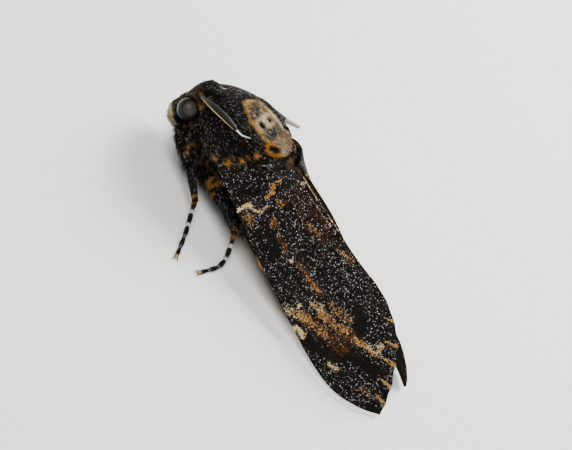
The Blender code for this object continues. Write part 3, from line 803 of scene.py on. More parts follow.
@dataclass
class Markings:
    """The pattern of the head and body, with some painted light from behind, given at any place on them, for
    skin and coat alike.
    """

    # The skull mark on the thorax: (x, half width across the back).
    skull: tuple[tuple[float, float], ...] = (
        (16.2, 3.2), (16.9, 3.6), (18.3, 3.9), (19.6, 4.0), (20.9, 3.8), (22.4, 3.35), (23.8, 2.6),
        (24.5, 1.9), (24.95, 0.7),
    )
    skull_back: float = 14.5
    skull_front: float = 24.95
    eye_spots: Oval = Oval(19.7, 1.35, 0.85, 0.72)
    eye_shift: float = 0.35
    rings: Oval = Oval(14.9, 2.9, 2.05, 1.4, 57.0)
    hearts: Oval = Oval(14.95, 2.95, 1.4, 0.72, 57.0)
    pads: Oval = Oval(12.5, 1.75, 0.42, 1.15)
    knobs: Oval = Oval(11.4, 3.2, 0.7, 0.7)
    fleck_free: Oval = Oval(14.9, 2.9, 2.3, 1.7, 57.0)
    # The ochre tufts before the roots of the wings, and a rust one above them.
    root_tufts: tuple[Oval, ...] = (
        Oval(18.9, 10.3, 0.8, 0.7), Oval(18.6, 9.0, 0.8, 0.25), Oval(17.3, 8.2, 0.8, 0.25),
        Oval(16.9, 7.3, 0.8, 0.2), Oval(16.1, 6.3, 0.6, 0.5), Oval(20.6, 11.6, 0.6, 0.5),
    )
    rust_tuft: Oval = Oval(20.0, 6.9, 0.6, 0.45)
    # The lower edge of the face and palps: (x, height).
    chin: tuple[tuple[float, float], ...] = ((29.4, 4.2), (29.9, 4.45), (31.0, 4.8), (32.3, 5.7), (33.1, 6.5))
    # The marks round the eyes: (middle, radius, colour).
    eye_marks: tuple[tuple[Triple, float, Shade], ...] = (
        ((29.1, 4.1, 11.9), 0.5, Shade.OCHRE), ((30.6, 2.4, 12.7), 0.45, Shade.OCHRE),
        ((28.1, 3.6, 7.5), 0.55, Shade.RUST),
    )
    abdomen_start: float = 9.3
    abdomen_end: float = -16.6
    abdomen_rings: int = 7
    # The middle height of the abdomen: (x, height).
    abdomen_middle: tuple[tuple[float, float], ...] = ((-16.6, 5.4), (-8.0, 6.4), (2.0, 7.5), (9.3, 8.1))

    def skull_depth(self, x: Array, across: Array) -> Array:
        """How far inside the skull mark's edge each place is.

        Args:
            x: places along the body.
            across: places across the back.

        Returns:
            The depth in millimetres; less than 0 is outside.
        """
        at, half = zip(*self.skull)
        side = np.interp(x, at, half) - np.abs(across)
        return np.minimum(side, np.minimum(self.skull_front - x, (x - at[0]) * 1.0 + 0.6))

    def thorax(self, paint: Paint, points: Array, jitter: Array) -> None:
        """Lays the skull mark and the marks behind it, with the mark's far edge painted pale by light from
        behind.

        Args:
            paint: the colours so far.
            points: their places on the thorax.
            jitter: a draw from -1 to 1 for each, which frays the edges of the marks.
        """
        x, across = points[:, 0], trunk_across(points)
        rough, finer = ripple(points, 2.4, 3), ripple(points, 4.2, 4)
        wobble = 0.6 * (ripple(points, 1.1, 5) - 0.5) + 0.3 * jitter
        depth = self.skull_depth(x, across) + wobble
        on = (x > self.skull_back).astype(float) * rise(depth, 0.0, 0.25)
        deep = rise(depth, 0.7, 1.1) * on
        inner = rise(depth, 0.45, 0.4) * on
        forehead = inner * rise(x, 20.9, 0.6) * fall(x, 24.4, 0.5)
        mottle = fall(x, 18.9, 0.5) * rise(x, 15.4, 0.5) * inner * rise(across, -3.2, 0.6)
        band = on * fall(np.abs(across + 2.0), 0.95, 0.4) * rise(rough, 0.25, 0.2)
        spots = self.eye_spots.outside(x, across - self.eye_shift) + 0.2 * wobble + 0.35 * (across < 0)
        paint.lay(
            (Shade.OCHRE, on),
            (Shade.CREAM, 0.35 * on),
            (Shade.IVORY, deep),
            (Shade.ROSE, 0.7 * deep * rise(rough, 0.45, 0.2)),
            (Shade.GREY_BROWN, forehead * rise(rough, 0.28, 0.2)),
            (Shade.BLACK, 0.9 * forehead * rise(finer, 0.44, 0.12)),
            (Shade.SLATE, mottle * rise(rough, 0.25, 0.2)),
            (Shade.BLACK, mottle * rise(finer, 0.42, 0.12)),
            (Shade.GREY_BROWN, 0.8 * band),
            (Shade.OCHRE, 0.5 * band * rise(finer, 0.5, 0.15)),
            # Painted backlight: the far edge of the mark is laid pale ivory.
            (Shade.IVORY, 0.8 * (on * rise(-across, 2.8, 0.4))),
            (Shade.BLACK, fall(spots, 1.2, 0.3)),
        )
        self.behind_skull(paint, x, across, (wobble, rough, finer))

    def behind_skull(self, paint: Paint, x: Array, across: Array,
                     ripples: tuple[Array, Array, Array]) -> None:
        """Lays the rings, pads and tufts behind the skull mark, with the rings on the far side painted paler
        for the light from behind.

        Args:
            paint: the colours so far.
            x: their places along the body.
            across: their places across the back.
            ripples: what frays the edges, and a coarse and a fine ripple.
        """
        wobble, rough, finer = ripples
        ovals = (self.rings, self.hearts, self.pads, self.knobs)
        ring, heart, pads, knobs = (oval.outside(x, across) + 0.25 * wobble for oval in ovals)
        far = np.abs(across)
        near = np.where(across > 0, 1.0, 0.0)
        on = fall(ring, 1.1, 0.2)
        rear = fall(x, 16.6, 0.5) * rise(x, 12.7, 0.4) * fall(far, 2.4, 0.6)
        tail = fall(x, 12.4, 0.4) * rise(x, 9.0, 0.3) * fall(far, 2.8, 0.7)
        # Grey-brown streaks and black flecks behind the mark and on the far side's rings.
        streaked = np.maximum(rear, (1.0 - near) * on)
        paint.lay(
            (Shade.ROSE, rear),
            (Shade.IVORY, 0.7 * rear * fall(rough, 0.42, 0.15)),
            (Shade.OCHRE, on),
            # The near side's rings are deep orange with full black hearts; on the far side they are laid pale
            # rose with faint hearts, as painted backlight.
            (Shade.ORANGE, 0.7 * near * on * rise(rough, 0.4, 0.2)),
            (Shade.CREAM, 0.8 * on * fall(far, 2.6, 0.8)),
            (Shade.ROSE, 0.8 * (1.0 - near) * on),
            (Shade.GREY_BROWN, 0.85 * (streaked * rise(finer, 0.46, 0.14))),
            (Shade.BLACK, 0.7 * (streaked * rise(rough, 0.62, 0.1))),
            (Shade.BLACK, (0.2 + 0.8 * near) * fall(heart, 1.1, 0.25)),
            (Shade.GREY_BROWN, 0.7 * tail),
            (Shade.OCHRE, 0.35 * tail * rise(rough, 0.45, 0.2)),
            (Shade.BLACK, fall(knobs, 1.15, 0.2)),
            (Shade.BLACK, fall(pads, 1.12, 0.2)),
        )

    def wing_roots(self, paint: Paint, points: Array, across: Array) -> None:
        """Lays the ochre tufts along the roots of the wings, and the rust above them.

        Args:
            paint: the colours so far.
            points: their places.
            across: their places across the back.
        """
        patchy = ripple(points, 1.5, 11)
        for tuft in self.root_tufts:
            gone = tuft.outside(points[:, 0], across)
            paint.lay((Shade.OCHRE, 0.9 * fall(gone, 1.15, 0.4) * rise(patchy, 0.3, 0.16)))
        gone = self.rust_tuft.outside(points[:, 0], across)
        paint.lay((Shade.RUST, 0.6 * fall(gone, 1.2, 0.5) * rise(patchy, 0.4, 0.2)))

    def head(self, paint: Paint, points: Array) -> None:
        """Lays the brown-grey face, a pale rim of painted light from behind along the palps, and the ochre
        marks round the eyes.

        Args:
            paint: the colours so far.
            points: their places.
        """
        x, y, z = points[:, 0], np.abs(points[:, 1]), points[:, 2]
        rough = ripple(points, 3.0, 7)
        face = rise(x, 30.6, 1.2) * fall(z, 12.6, 1.5)
        brow = rise(x, 29.0, 1.0) * fall(z, 13.6, 1.0) * rise(z, 11.2, 0.6)
        chin = np.interp(x, *zip(*self.chin))
        # Painted rim light: a pale ivory edge along the underside of the palps, where light from behind
        # catches them.
        rim = fall(z, chin + 0.28, 0.3) * rise(x, 29.2, 0.4) * rise(y, 1.5, 0.5)
        paint.lay(
            (Shade.GREY_BROWN, face * (0.15 + 0.75 * rise(rough, 0.45, 0.2))),
            (Shade.BROWN, 0.5 * brow),
            (Shade.IVORY, 0.8 * rim * (0.5 + 0.5 * rise(rough, 0.35, 0.2))),
        )
        for middle, radius, shade in self.eye_marks:
            gone = np.linalg.norm(np.stack([x, y, z], 1) - np.array(middle), axis=1) / radius
            paint.lay((shade, fall(gone, 1.2, 0.5) * rise(rough, 0.3, 0.2)))

    def abdomen(self, paint: Paint, points: Array) -> None:
        """Lays the yellow rings, the black bands between them, and the slate stripe down the back.

        Args:
            paint: the colours so far.
            points: their places.
        """
        x, y, z = points.T
        place = (self.abdomen_start - x) / (self.abdomen_start - self.abdomen_end) * self.abdomen_rings
        off = np.abs(place - np.round(place))
        wave = 0.1 * (ripple(points, 1.2, 13) - 0.5)
        turn = np.degrees(np.arctan2(np.abs(y), z - np.interp(x, *zip(*self.abdomen_middle))))
        rings = Paint(plain(Shade.YELLOW, len(x))).lay(
            (Shade.BLACK, fall(off, 0.17 + wave, 0.06)),
            (Shade.SLATE, fall(turn, 26.0 + 40 * wave, 8.0)),
            (Shade.ROSE, 0.55 * rise(turn, 105.0, 25.0)),
        )
        paint.lay((rings.colours, fall(x, self.abdomen_start + 0.1, 0.4)))

    def colours(self, points: Array, jitter: Array) -> Array:
        """The body's colour at each place.

        Args:
            points: places on the body.
            jitter: a draw from -1 to 1 for each, which frays the edges of the marks.

        Returns:
            One colour for each place.
        """
        x, across = points[:, 0], trunk_across(points)
        soft = ripple(points, 0.9, 1)
        belly = fall(points[:, 2], 6.6, 2.0) * (x < 26)
        paint = Paint(plain(Shade.BLACK, len(points))).lay(
            (Shade.SOOT, 0.6 * soft),
            (Shade.BROWN, belly * rise(soft, 0.35, 0.3)),
            (Shade.OCHRE, 0.45 * belly * rise(ripple(points, 1.8, 9), 0.5, 0.2)),
        )
        self.head(paint, points)
        self.wing_roots(paint, points, across)
        on_thorax = (x > 9.35) & (x < 26.2) & (points[:, 2] > 11.5)
        thorax = Paint(paint.colours[on_thorax])
        self.thorax(thorax, points[on_thorax], jitter[on_thorax])
        paint.colours[on_thorax] = thorax.colours
        self.abdomen(paint, points)
        return paint.colours

    def fleck_share(self, points: Array) -> Array:
        """Where the black coat carries white flecks.

        Args:
            points: places on the body.

        Returns:
            1 on the black coat, and 0 on the marks and the abdomen.
        """
        x, across = points[:, 0], trunk_across(points)
        clear = 1.0 - rise(self.skull_depth(x, across), -0.4, 0.5) * (x > self.skull_back)
        rear = fall(x, 16.6, 0.5) * fall(np.abs(across), 3.2, 0.5) * (points[:, 2] > 12)
        clear = clear * (self.fleck_free.outside(x, across) > 1.1) * (1.0 - rear)
        return clear * (x > 9.4)


@dataclass
class Tufts:
    """One kind of tuft: its number, and the ranges of its length and of its lift in degrees."""

    count: int
    length: tuple[float, float]
    width: float
    lift: tuple[float, float]
    curved: bool = False
    # How dark each tuft's root is drawn: painted shade among the hair.
    painted_root_shade: float = 0.45


class Coat:
    """Makes tufts of solid mesh on a surface."""

    spread: float = 0.32
    root_depth: float = 0.06

    def __init__(self, points: Array, triangles: Array, ways: Array, seed: int) -> None:
        """Keeps the surface that the tufts grow on.

        Args:
            points: its points.
            triangles: its triangles.
            ways: its way out at each point.
            seed: the start of the random draws.
        """
        self.points, self.triangles, self.ways = points, triangles, ways
        self.draw = np.random.default_rng(seed)
        corner = points[triangles]
        push = np.cross(corner[:, 1] - corner[:, 0], corner[:, 2] - corner[:, 0])
        self.areas = 0.5 * np.linalg.norm(push, axis=1)

    def dye(self, colours: Array, share: Array | float, shade: Shade, light: float = 1.0) -> None:
        """Gives a random share of the tufts another colour.

        Args:
            colours: one colour for each tuft, changed in place.
            share: the share that is dyed, for all or for each.
            shade: the other colour.
            light: what it is multiplied by.
        """
        colours[self.draw.random(len(colours)) < share] = light * np.array(shade.value)

    def vary(self, colours: Array, low: float, high: float) -> None:
        """Makes each tuft lighter or darker, by a draw from low to high."""
        colours *= self.draw.uniform(low, high, (len(colours), 1))

    def roots(self, count: int, density: Callable[[Array], Array]) -> tuple[Array, Array]:
        """Draws places on the surface.

        Args:
            count: how many are drawn.
            density: how thick the coat is, from 0 to 1, at the middles of the triangles.

        Returns:
            The places and their ways out.
        """
        middles = self.points[self.triangles].mean(axis=1)
        weight = self.areas * np.maximum(density(middles), 0.0)
        picked = self.draw.choice(len(self.triangles), size=count, p=weight / weight.sum())
        u, v = self.draw.random(count), self.draw.random(count)
        over = u + v > 1
        u[over], v[over] = 1 - u[over], 1 - v[over]
        share = np.stack([1 - u - v, u, v], axis=1)[:, :, None]
        corners = self.triangles[picked]
        return (self.points[corners] * share).sum(axis=1), unit((self.ways[corners] * share).sum(axis=1))

    def grow(
        self, kind: Tufts, roots: Array, ways: Array, lie: Array, scale: Array
    ) -> tuple[Array, Array]:
        """Makes one tuft on each root.

        Args:
            kind: the tufts' sizes.
            roots: where they grow.
            ways: the surface's way out there.
            lie: the way they point.
            scale: each one's share of the size.

        Returns:
            The points, tuft by tuft, and the triangles.
        """
        count = len(roots)
        spread = self.draw.normal(0.0, self.spread, (count, 1))
        side = unit(np.cross(ways, lie))
        flat = unit(np.cross(side, ways) + side * spread)
        side = unit(np.cross(ways, flat))
        length = self.draw.uniform(*kind.length, (count, 1)) * scale[:, None]
        lift = np.radians(self.draw.uniform(*kind.lift, (count, 1)))
        half = kind.width * 0.5 * (0.7 + 0.6 * self.draw.random((count, 1))) * np.sqrt(scale)[:, None]
        base = roots - ways * self.root_depth
        tip = base + flat * length * np.cos(lift) + ways * length * np.sin(lift)
        ring = [base + side * half, base - side * half, base + ways * half * 0.7]
        if not kind.curved:
            points = np.stack([*ring, tip], axis=1)
            pattern = np.array([(0, 1, 2), (0, 3, 1), (1, 3, 2), (2, 3, 0)])
        else:
            bend = base + flat * length * 0.42 * np.cos(lift) + ways * length * (0.62 * np.sin(lift) + 0.03)
            narrow = half * 0.8
            middle = [bend + side * narrow, bend - side * narrow, bend + ways * narrow * 0.6]
            points = np.stack([*ring, *middle, tip], axis=1)
            pattern = np.array([
                (0, 1, 2), (0, 3, 4), (0, 4, 1), (1, 4, 5), (1, 5, 2), (2, 5, 3), (2, 3, 0), (3, 6, 4),
                (4, 6, 5), (5, 6, 3),
            ])
        stride = points.shape[1]
        faces = pattern[None] + (np.arange(count) * stride)[:, None, None]
        return points.reshape(-1, 3), faces.reshape(-1, 3)


def coat_piece(
    name: str,
    tufts: tuple[Array, Array],
    tuft_colours: Array,
    unwrap: Array,
    kind: Tufts,
    material: Material,
) -> bpy.types.Object:
    """Makes a coat piece with its tint and its bake map; each tuft is painted darker at its root and lighter
    at its tip, as shade and light on the coat.

    Args:
        name: the piece's name.
        tufts: the points and triangles of its tufts.
        tuft_colours: one colour for each tuft.
        unwrap: each root's place on the skin's unwrap.
        kind: the tufts' sizes.
        material: its finish.

    Returns:
        The piece.
    """
    points, faces = tufts
    stride = 7 if kind.curved else 4
    # Painted shade at each tuft's root and painted light at its tip.
    shade = np.full(stride, kind.painted_root_shade)
    shade[-1] = 1.25
    if kind.curved:
        shade[3:6] = 1.0
    tint = (tuft_colours[:, None, :] * shade[None, :, None]).reshape(-1, 3)
    patch = np.array([(0.0, 0.0), (0.003, 0.0), (0.0015, 0.001)] * 2 + [(0.0015, 0.003)])
    patch = patch if kind.curved else patch[[0, 1, 2, 6]]
    spots = (unwrap[:, None, :] + patch[None]).reshape(-1, 2)
    return make_piece(name, points, faces, material, {"tint": tint}, spots[faces.ravel()])


def remeshed(
    name: str, nodes: Sequence[bpy.types.Object], extra: Sequence[tuple[Array, float]],
    swell: float, voxel: float, rounds: int
) -> bpy.types.Object:
    """One closed skin over several solids.

    Args:
        name: the skin's name.
        nodes: the solids.
        extra: balls that join them, each a centre and a radius.
        swell: how far the solids are pushed out to close their gaps.
        voxel: the skin's grain.
        rounds: how often it is smoothed.

    Returns:
        The skin's object, pushed out by swell.
    """
    all_points, all_faces, start = [], [], 0
    for node in nodes:
        points, faces = mesh_arrays(node.data)
        merged, index = np.unique(np.round(points, 4), axis=0, return_inverse=True)
        faces = index.reshape(-1)[faces]
        corner = merged[faces]
        push = np.cross(corner[:, 1] - corner[:, 0], corner[:, 2] - corner[:, 0])
        ways = np.zeros_like(merged)
        for k in range(3):
            np.add.at(ways, faces[:, k], push)
        all_points.append(merged + unit(ways) * swell)
        all_faces.append(faces + start)
        start += len(merged)
    for centre, radius in extra:
        points, faces = ball_mesh(centre, radius, 16)
        all_points.append(points)
        all_faces.append(faces + start)
        start += len(points)
    blank = bpy.data.materials.new(name + "_work")
    skin = make_piece(name, np.concatenate(all_points), np.concatenate(all_faces), blank)
    step = skin.modifiers.new("remesh", "REMESH")
    step.mode = "VOXEL"
    step.voxel_size = voxel * MM
    calm = skin.modifiers.new("smooth", "SMOOTH")
    calm.factor = 0.5
    calm.iterations = rounds
    bpy.context.view_layer.update()
    mesh = bpy.data.meshes.new_from_object(skin.evaluated_get(bpy.context.evaluated_depsgraph_get()))
    skin.modifiers.clear()
    old = skin.data
    skin.data = mesh
    bpy.data.meshes.remove(old)
    mesh.materials.clear()
    bpy.data.materials.remove(blank)
    return skin


def ball_mesh(centre: Sequence[float], radius: float, rings: int) -> tuple[Array, Array]:
    """A ball with its poles along Y.

    Args:
        centre: its middle.
        radius: its radius.
        rings: how many bands it has from pole to pole.

    Returns:
        Its points and triangles.
    """
    points = [np.array([0.0, radius, 0.0])]
    sides = rings * 2
    for i in range(1, rings):
        tilt = math.pi * i / rings
        for k in range(sides):
            turn = 2 * math.pi * k / sides
            points.append(radius * np.array([
                math.sin(tilt) * math.cos(turn), math.cos(tilt), -math.sin(tilt) * math.sin(turn)
            ]))
    points.append(np.array([0.0, -radius, 0.0]))
    faces = []
    last = len(points) - 1
    for k in range(sides):
        following = (k + 1) % sides
        faces.append((0, 1 + k, 1 + following))
        faces.append((last, last - sides + following, last - sides + k))
        for i in range(rings - 2):
            a, b = 1 + i * sides, 1 + (i + 1) * sides
            faces.append((a + k, b + k, b + following))
            faces.append((a + k, b + following, a + following))
    return np.array(points) + np.array(centre), np.array(faces)


def shrink(skin: bpy.types.Object, depth: Callable[[Array], Array]) -> None:
    """Draws a skin in, and keeps it just off the floor.

    Args:
        skin: the skin.
        depth: gives how far it is drawn in at each of its points.
    """
    points, _ = mesh_arrays(skin.data)
    ways = point_normals(skin.data)
    set_points(skin.data, raised(points - ways * depth(points)[:, None], SKIN_CLEARANCE))
    skin.data.update()


def dress_skin(skin: bpy.types.Object, tint: Array, material: Material) -> None:
    """Gives a skin its look.

    Args:
        skin: the skin.
        tint: one colour for each of its points.
        material: its finish.
    """
    name_values(skin.data, "tint", tint)
    skin.data.materials.append(material)
    skin.data.shade_smooth()


@dataclass
class Trunk:
    """Head, collar, thorax and abdomen: one skin, and its coat."""

    fur: Material
    nodes: tuple[str, ...] = (
        "head", "collar", "thorax", "abdomen", "palp_left", "palp_right", "fore_coxa_left",
        "fore_coxa_right", "mid_coxa_left", "mid_coxa_right", "hind_coxa_left", "hind_coxa_right",
    )
    swell: float = 0.18
    voxel: float = 0.2
    rounds: int = 9
    coat_depth: float = 0.34
    face_depth: float = 0.2
    skin_light: float = 0.7
    fray: float = 0.12
    fleck_lift: float = 0.16
    front_limit: float = 33.45
    marks: Markings = field(default_factory=Markings)
    base: Tufts = field(default_factory=lambda: Tufts(46000, (0.6, 0.95), 0.17, (12, 26)))
    layers: int = 3
    flecks: Tufts = field(default_factory=lambda: Tufts(6600, (0.28, 0.5), 0.085, (14, 34), True, 0.8))
    long_hair: Tufts = field(default_factory=lambda: Tufts(7000, (1.1, 1.9), 0.13, (10, 26), True))
    fringe: Tufts = field(default_factory=lambda: Tufts(2600, (1.3, 2.2), 0.12, (38, 60), True))
    beard: Tufts = field(default_factory=lambda: Tufts(9000, (1.1, 2.2), 0.15, (25, 70), True))
    # Balls that close the chinks between the left side's palp, coxa and chest: (centre, radius).
    joins: tuple[tuple[Triple, float], ...] = (
        ((30.6, 1.7, 5.9), 1.2), ((27.1, 4.0, 6.8), 1.5), ((22.6, 5.2, 5.1), 1.5),
    )
    # The line where the wing's root crosses the trunk, as (place across the back, x).
    root_line: tuple[tuple[float, float], ...] = (
        (0.71, 9.8), (4.1, 10.8), (6.24, 12.2), (7.95, 14.6), (9.77, 16.6), (11.5, 17.6),
    )
    coat: Coat = field(init=False)

    def depth(self, points: Array) -> Array:
        """The coat's depth: least on the face, the palps and round the eyes.

        Args:
            points: places on the trunk.

        Returns:
            How far the swollen skin is drawn in at each place.
        """
        face = rise(points[:, 0], 29.0, 2.0)
        eye = np.linalg.norm(np.abs(points) - np.array(EYE_CENTRE), axis=1)
        thin = np.maximum(face, fall(eye, 3.2, 0.8))
        return self.swell + self.coat_depth * (1 - thin) + self.face_depth * thin

    def density(self, points: Array) -> Array:
        """How thick the coat is: full on head and thorax, thinner on the abdomen, none in the sockets.

        Args:
            points: places on the trunk.

        Returns:
            0 to 1 for each place.
        """
        x = points[:, 0]
        eye = np.linalg.norm(np.stack([x, np.abs(points[:, 1]), points[:, 2]], 1) - EYE_CENTRE, axis=1)
        open_eye = (eye > EYE_RADIUS + 0.12).astype(float)
        waist = ((x > 9.7) | (x < 9.1)).astype(float)
        return open_eye * waist * np.where(x < 9.3, 0.45, 1.0)

    def fleck_density(self, points: Array) -> Array:
        """How many white flecks grow: most just before the wings, and fewer low down.

        Args:
            points: places on the trunk.

        Returns:
            0 or more for each place.
        """
        patchy = 0.4 + 0.9 * ripple(points, 0.8, 31) + 3.2 * self.near_wing(points)
        high = 0.45 + 0.55 * rise(points[:, 2], 6.5, 4.0)
        return self.density(points) * self.marks.fleck_share(points) * patchy * high

    def long_density(self, points: Array) -> Array:
        """How much long hair grows: along the wing roots, behind the skull mark and under the thorax.

        Args:
            points: places on the trunk.

        Returns:
            0 or more for each place.
        """
        x, across = points[:, 0], np.abs(trunk_across(points))
        roots = fall(np.abs(across - 8.6), 2.6, 1.0) * fall(x, 21.5, 1.0) * rise(x, 10.5, 1.0)
        rear = fall(x, 12.6, 0.6) * rise(x, 9.7, 0.2) * fall(across, 7.0, 1.0)
        under = fall(points[:, 2], 7.5, 1.0) * rise(x, 10.5, 1.0) * fall(x, 26.5, 1.0)
        return self.density(points) * np.maximum(np.maximum(roots, rear), 0.5 * under)

    def beard_density(self, points: Array) -> Array:
        """How much loose hair grows: under the head and the chest only.

        Args:
            points: places on the trunk.

        Returns:
            0 or more for each place.
        """
        x, z = points[:, 0], points[:, 2]
        chest = fall(z, 8.4, 1.2) * rise(x, 13.5, 1.5) * fall(x, 32.6, 0.6)
        return self.density(points) * chest

    def fringe_density(self, points: Array) -> Array:
        """How much fringe grows: in a narrow line before the root of each wing.

        Args:
            points: places on the trunk.

        Returns:
            0 or more for each place.
        """
        ahead, across = self.ahead_of_wing(points)
        edge = rise(ahead, 0.05, 0.2) * fall(ahead, 1.3, 0.5)
        return self.density(points) * edge * (across < 12.0) * rise(across, 4.6, 0.8)

    def lie(self, points: Array) -> Array:
        """The way the coat lies: back along the body, and up and over the face.

        Args:
            points: places on the trunk.

        Returns:
            One way for each place.
        """
        way = np.zeros_like(points)
        way[:, 0] = -1.0
        way[:, 2] += 0.9 * rise(points[:, 0], 31.0, 1.5)
        way[:, 1] += 0.7 * (ripple(points, 0.55, 21) - 0.5)
        way[:, 2] += 0.5 * (ripple(points, 0.5, 23) - 0.5)
        return unit(way)

    def unwrap(self, points: Array) -> Array:
        """Lays places on the unwrap of the skin: round the body and along it.

        Args:
            points: places on the trunk.

        Returns:
            Two numbers from 0 to 1 for each place.
        """
        x, y, z = points.T
        turn = np.arctan2(y, z - np.interp(x, [-16, 9, 34], [5.6, 8.0, 10.0]))
        return np.stack([0.02 + 0.95 * (turn / (2 * math.pi) + 0.5), 0.02 + 0.95 * (x + 17) / 52], 1)

    def build(self, frame: dict[str, Any]) -> None:
        """Makes the skin and the coat.

        Args:
            frame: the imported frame.
        """
        solids = [frame["nodes"][name] for name in self.nodes]
        joins = [(np.array(at) * (1, side, 1), size) for at, size in self.joins for side in (1, -1)]
        skin = remeshed("skin_body", solids, joins, self.swell, self.voxel, self.rounds)
        shrink(skin, self.depth)
        points, triangles = mesh_arrays(skin.data)
        ways = point_normals(skin.data)
        dress_skin(skin, self.skin_light * self.marks.colours(points, np.zeros(len(points))), self.fur)
        keep_piece(skin, "fur", *self.nodes)
        coat = self.coat = Coat(points, triangles, ways, SEED)
        for layer in range(self.layers):
            roots, out = coat.roots(self.base.count, self.density)
            jitter = coat.draw.uniform(-1, 1, len(roots))
            colour = self.marks.colours(roots + self.fray * coat.draw.normal(0, 1, roots.shape), jitter)
            coat.vary(colour, 0.6, 1.35)
            scale = 1.0 - 0.5 * rise(roots[:, 0], 29.0, 2.0)
            self.finish_layer(f"coat_body_{layer + 1}", self.base, (roots, out), colour, scale)
        for add in (self.add_flecks, self.add_long_hair, self.add_beard, self.add_fringe):
            add()

    def finish_layer(self, name: str, kind: Tufts, grown: tuple[Array, Array], colour: Array,
                     scale: Array) -> None:
        """Grows one layer of tufts and keeps it as a piece.

        Args:
            name: the piece's name.
            kind: the tufts' sizes.
            grown: the tufts' roots and the ways out there.
            colour: one colour for each tuft.
            scale: each one's share of the size.
        """
        roots, out = grown
        points, faces = self.coat.grow(kind, roots, out, self.lie(roots), scale)
        tufts = (np.minimum(points, (self.front_limit, math.inf, math.inf)), faces)
        keep_piece(coat_piece(name, tufts, colour, self.unwrap(roots), kind, self.fur), "fur")

    def ahead_of_wing(self, points: Array) -> tuple[Array, Array]:
        """How far each place is from the line of the wing's root.

        Args:
            points: places on the trunk.

        Returns:
            The distance before the line, and the distance across the back from its middle.
        """
        across = np.abs(trunk_across(points))
        return points[:, 0] - np.interp(across, *zip(*self.root_line)), across

    def add_flecks(self) -> None:
        """The short white hairs that fleck the black coat, drawn brighter before the wings and brighter on
        the far side as painted light from behind.
        """
        coat = self.coat
        roots, out = coat.roots(self.flecks.count, self.fleck_density)
        out = unit(out)
        colour = plain(Shade.WHITE, len(roots))
        coat.dye(colour, 0.18, Shade.CREAM)
        # Painted backlight: flecks on the far side are made brighter; those just before the wings are
        # brighter too.
        backlit_side_and_wing_front = rise(-trunk_across(roots), 1.5, 2.0) + self.near_wing(roots)
        bright = 0.06 + 0.5 * coat.draw.random(len(roots)) ** 2
        colour *= (bright * (1.0 + 1.3 * backlit_side_and_wing_front))[:, None]
        scale = 1.0 - 0.35 * rise(roots[:, 0], 29.5, 2.0)
        lifted = roots + out * self.fleck_lift
        self.finish_layer("coat_flecks", self.flecks, (lifted, out), colour, scale)

    def near_wing(self, points: Array) -> Array:
        """Which places lie just before the root of a wing.

        Args:
            points: places on the trunk.

        Returns:
            1 just before the root, and 0 away from it.
        """
        ahead, across = self.ahead_of_wing(points)
        return fall(ahead, 1.7, 0.6) * rise(across, 4.4, 0.8) * (points[:, 2] > 9.0) * (ahead > 0)

    def add_long_hair(self) -> None:
        """The longer hair along the wing roots, behind the skull mark and under the thorax."""
        coat = self.coat
        roots, out = coat.roots(self.long_hair.count, self.long_density)
        colour = self.marks.colours(roots, coat.draw.uniform(-1, 1, len(roots)))
        coat.vary(colour, 0.6, 1.4)
        scale = coat.draw.uniform(0.6, 1.0, len(roots))
        self.finish_layer("coat_long", self.long_hair, (roots, out), colour, scale)

    def add_beard(self) -> None:
        """The loose dark hair under the head and between the legs."""
        coat = self.coat
        roots, out = coat.roots(self.beard.count, self.beard_density)
        colour = plain(Shade.BLACK, len(roots))
        coat.dye(colour, 0.2, Shade.GREY_BROWN, 0.6)
        coat.dye(colour, 0.04, Shade.OCHRE, 0.5)
        coat.dye(colour, 0.1, Shade.WHITE, 0.18)
        coat.dye(colour, 0.5 * (fall(roots[:, 0], 21.8, 0.8) * fall(roots[:, 2], 7.4, 0.6)), Shade.OCHRE, 0.8)
        palps = rise(roots[:, 0], 29.6, 0.5)
        colour = Paint(colour).lay((self.marks.colours(roots, np.zeros(len(roots))), palps)).colours
        coat.vary(colour, 0.5, 1.2)
        scale = coat.draw.uniform(0.5, 1.0, len(roots)) * (1.0 - 0.5 * palps)
        self.finish_layer("coat_beard", self.beard, (roots, out), colour, scale)

    def add_fringe(self) -> None:
        """The hair that runs back over the roots of the wings."""
        coat = self.coat
        roots, out = coat.roots(self.fringe.count, self.fringe_density)
        colour = plain(Shade.BLACK, len(roots))
        coat.dye(colour, 0.12, Shade.WHITE, 0.3)
        coat.dye(colour, 0.16 * rise(ripple(roots, 0.8, 33), 0.56, 0.1), Shade.OCHRE, 0.7)
        coat.dye(colour, 0.15, Shade.BROWN)
        coat.vary(colour, 0.4, 1.3)
        scale = coat.draw.uniform(0.6, 1.0, len(roots))
        self.finish_layer("coat_fringe", self.fringe, (roots, out), colour, scale)


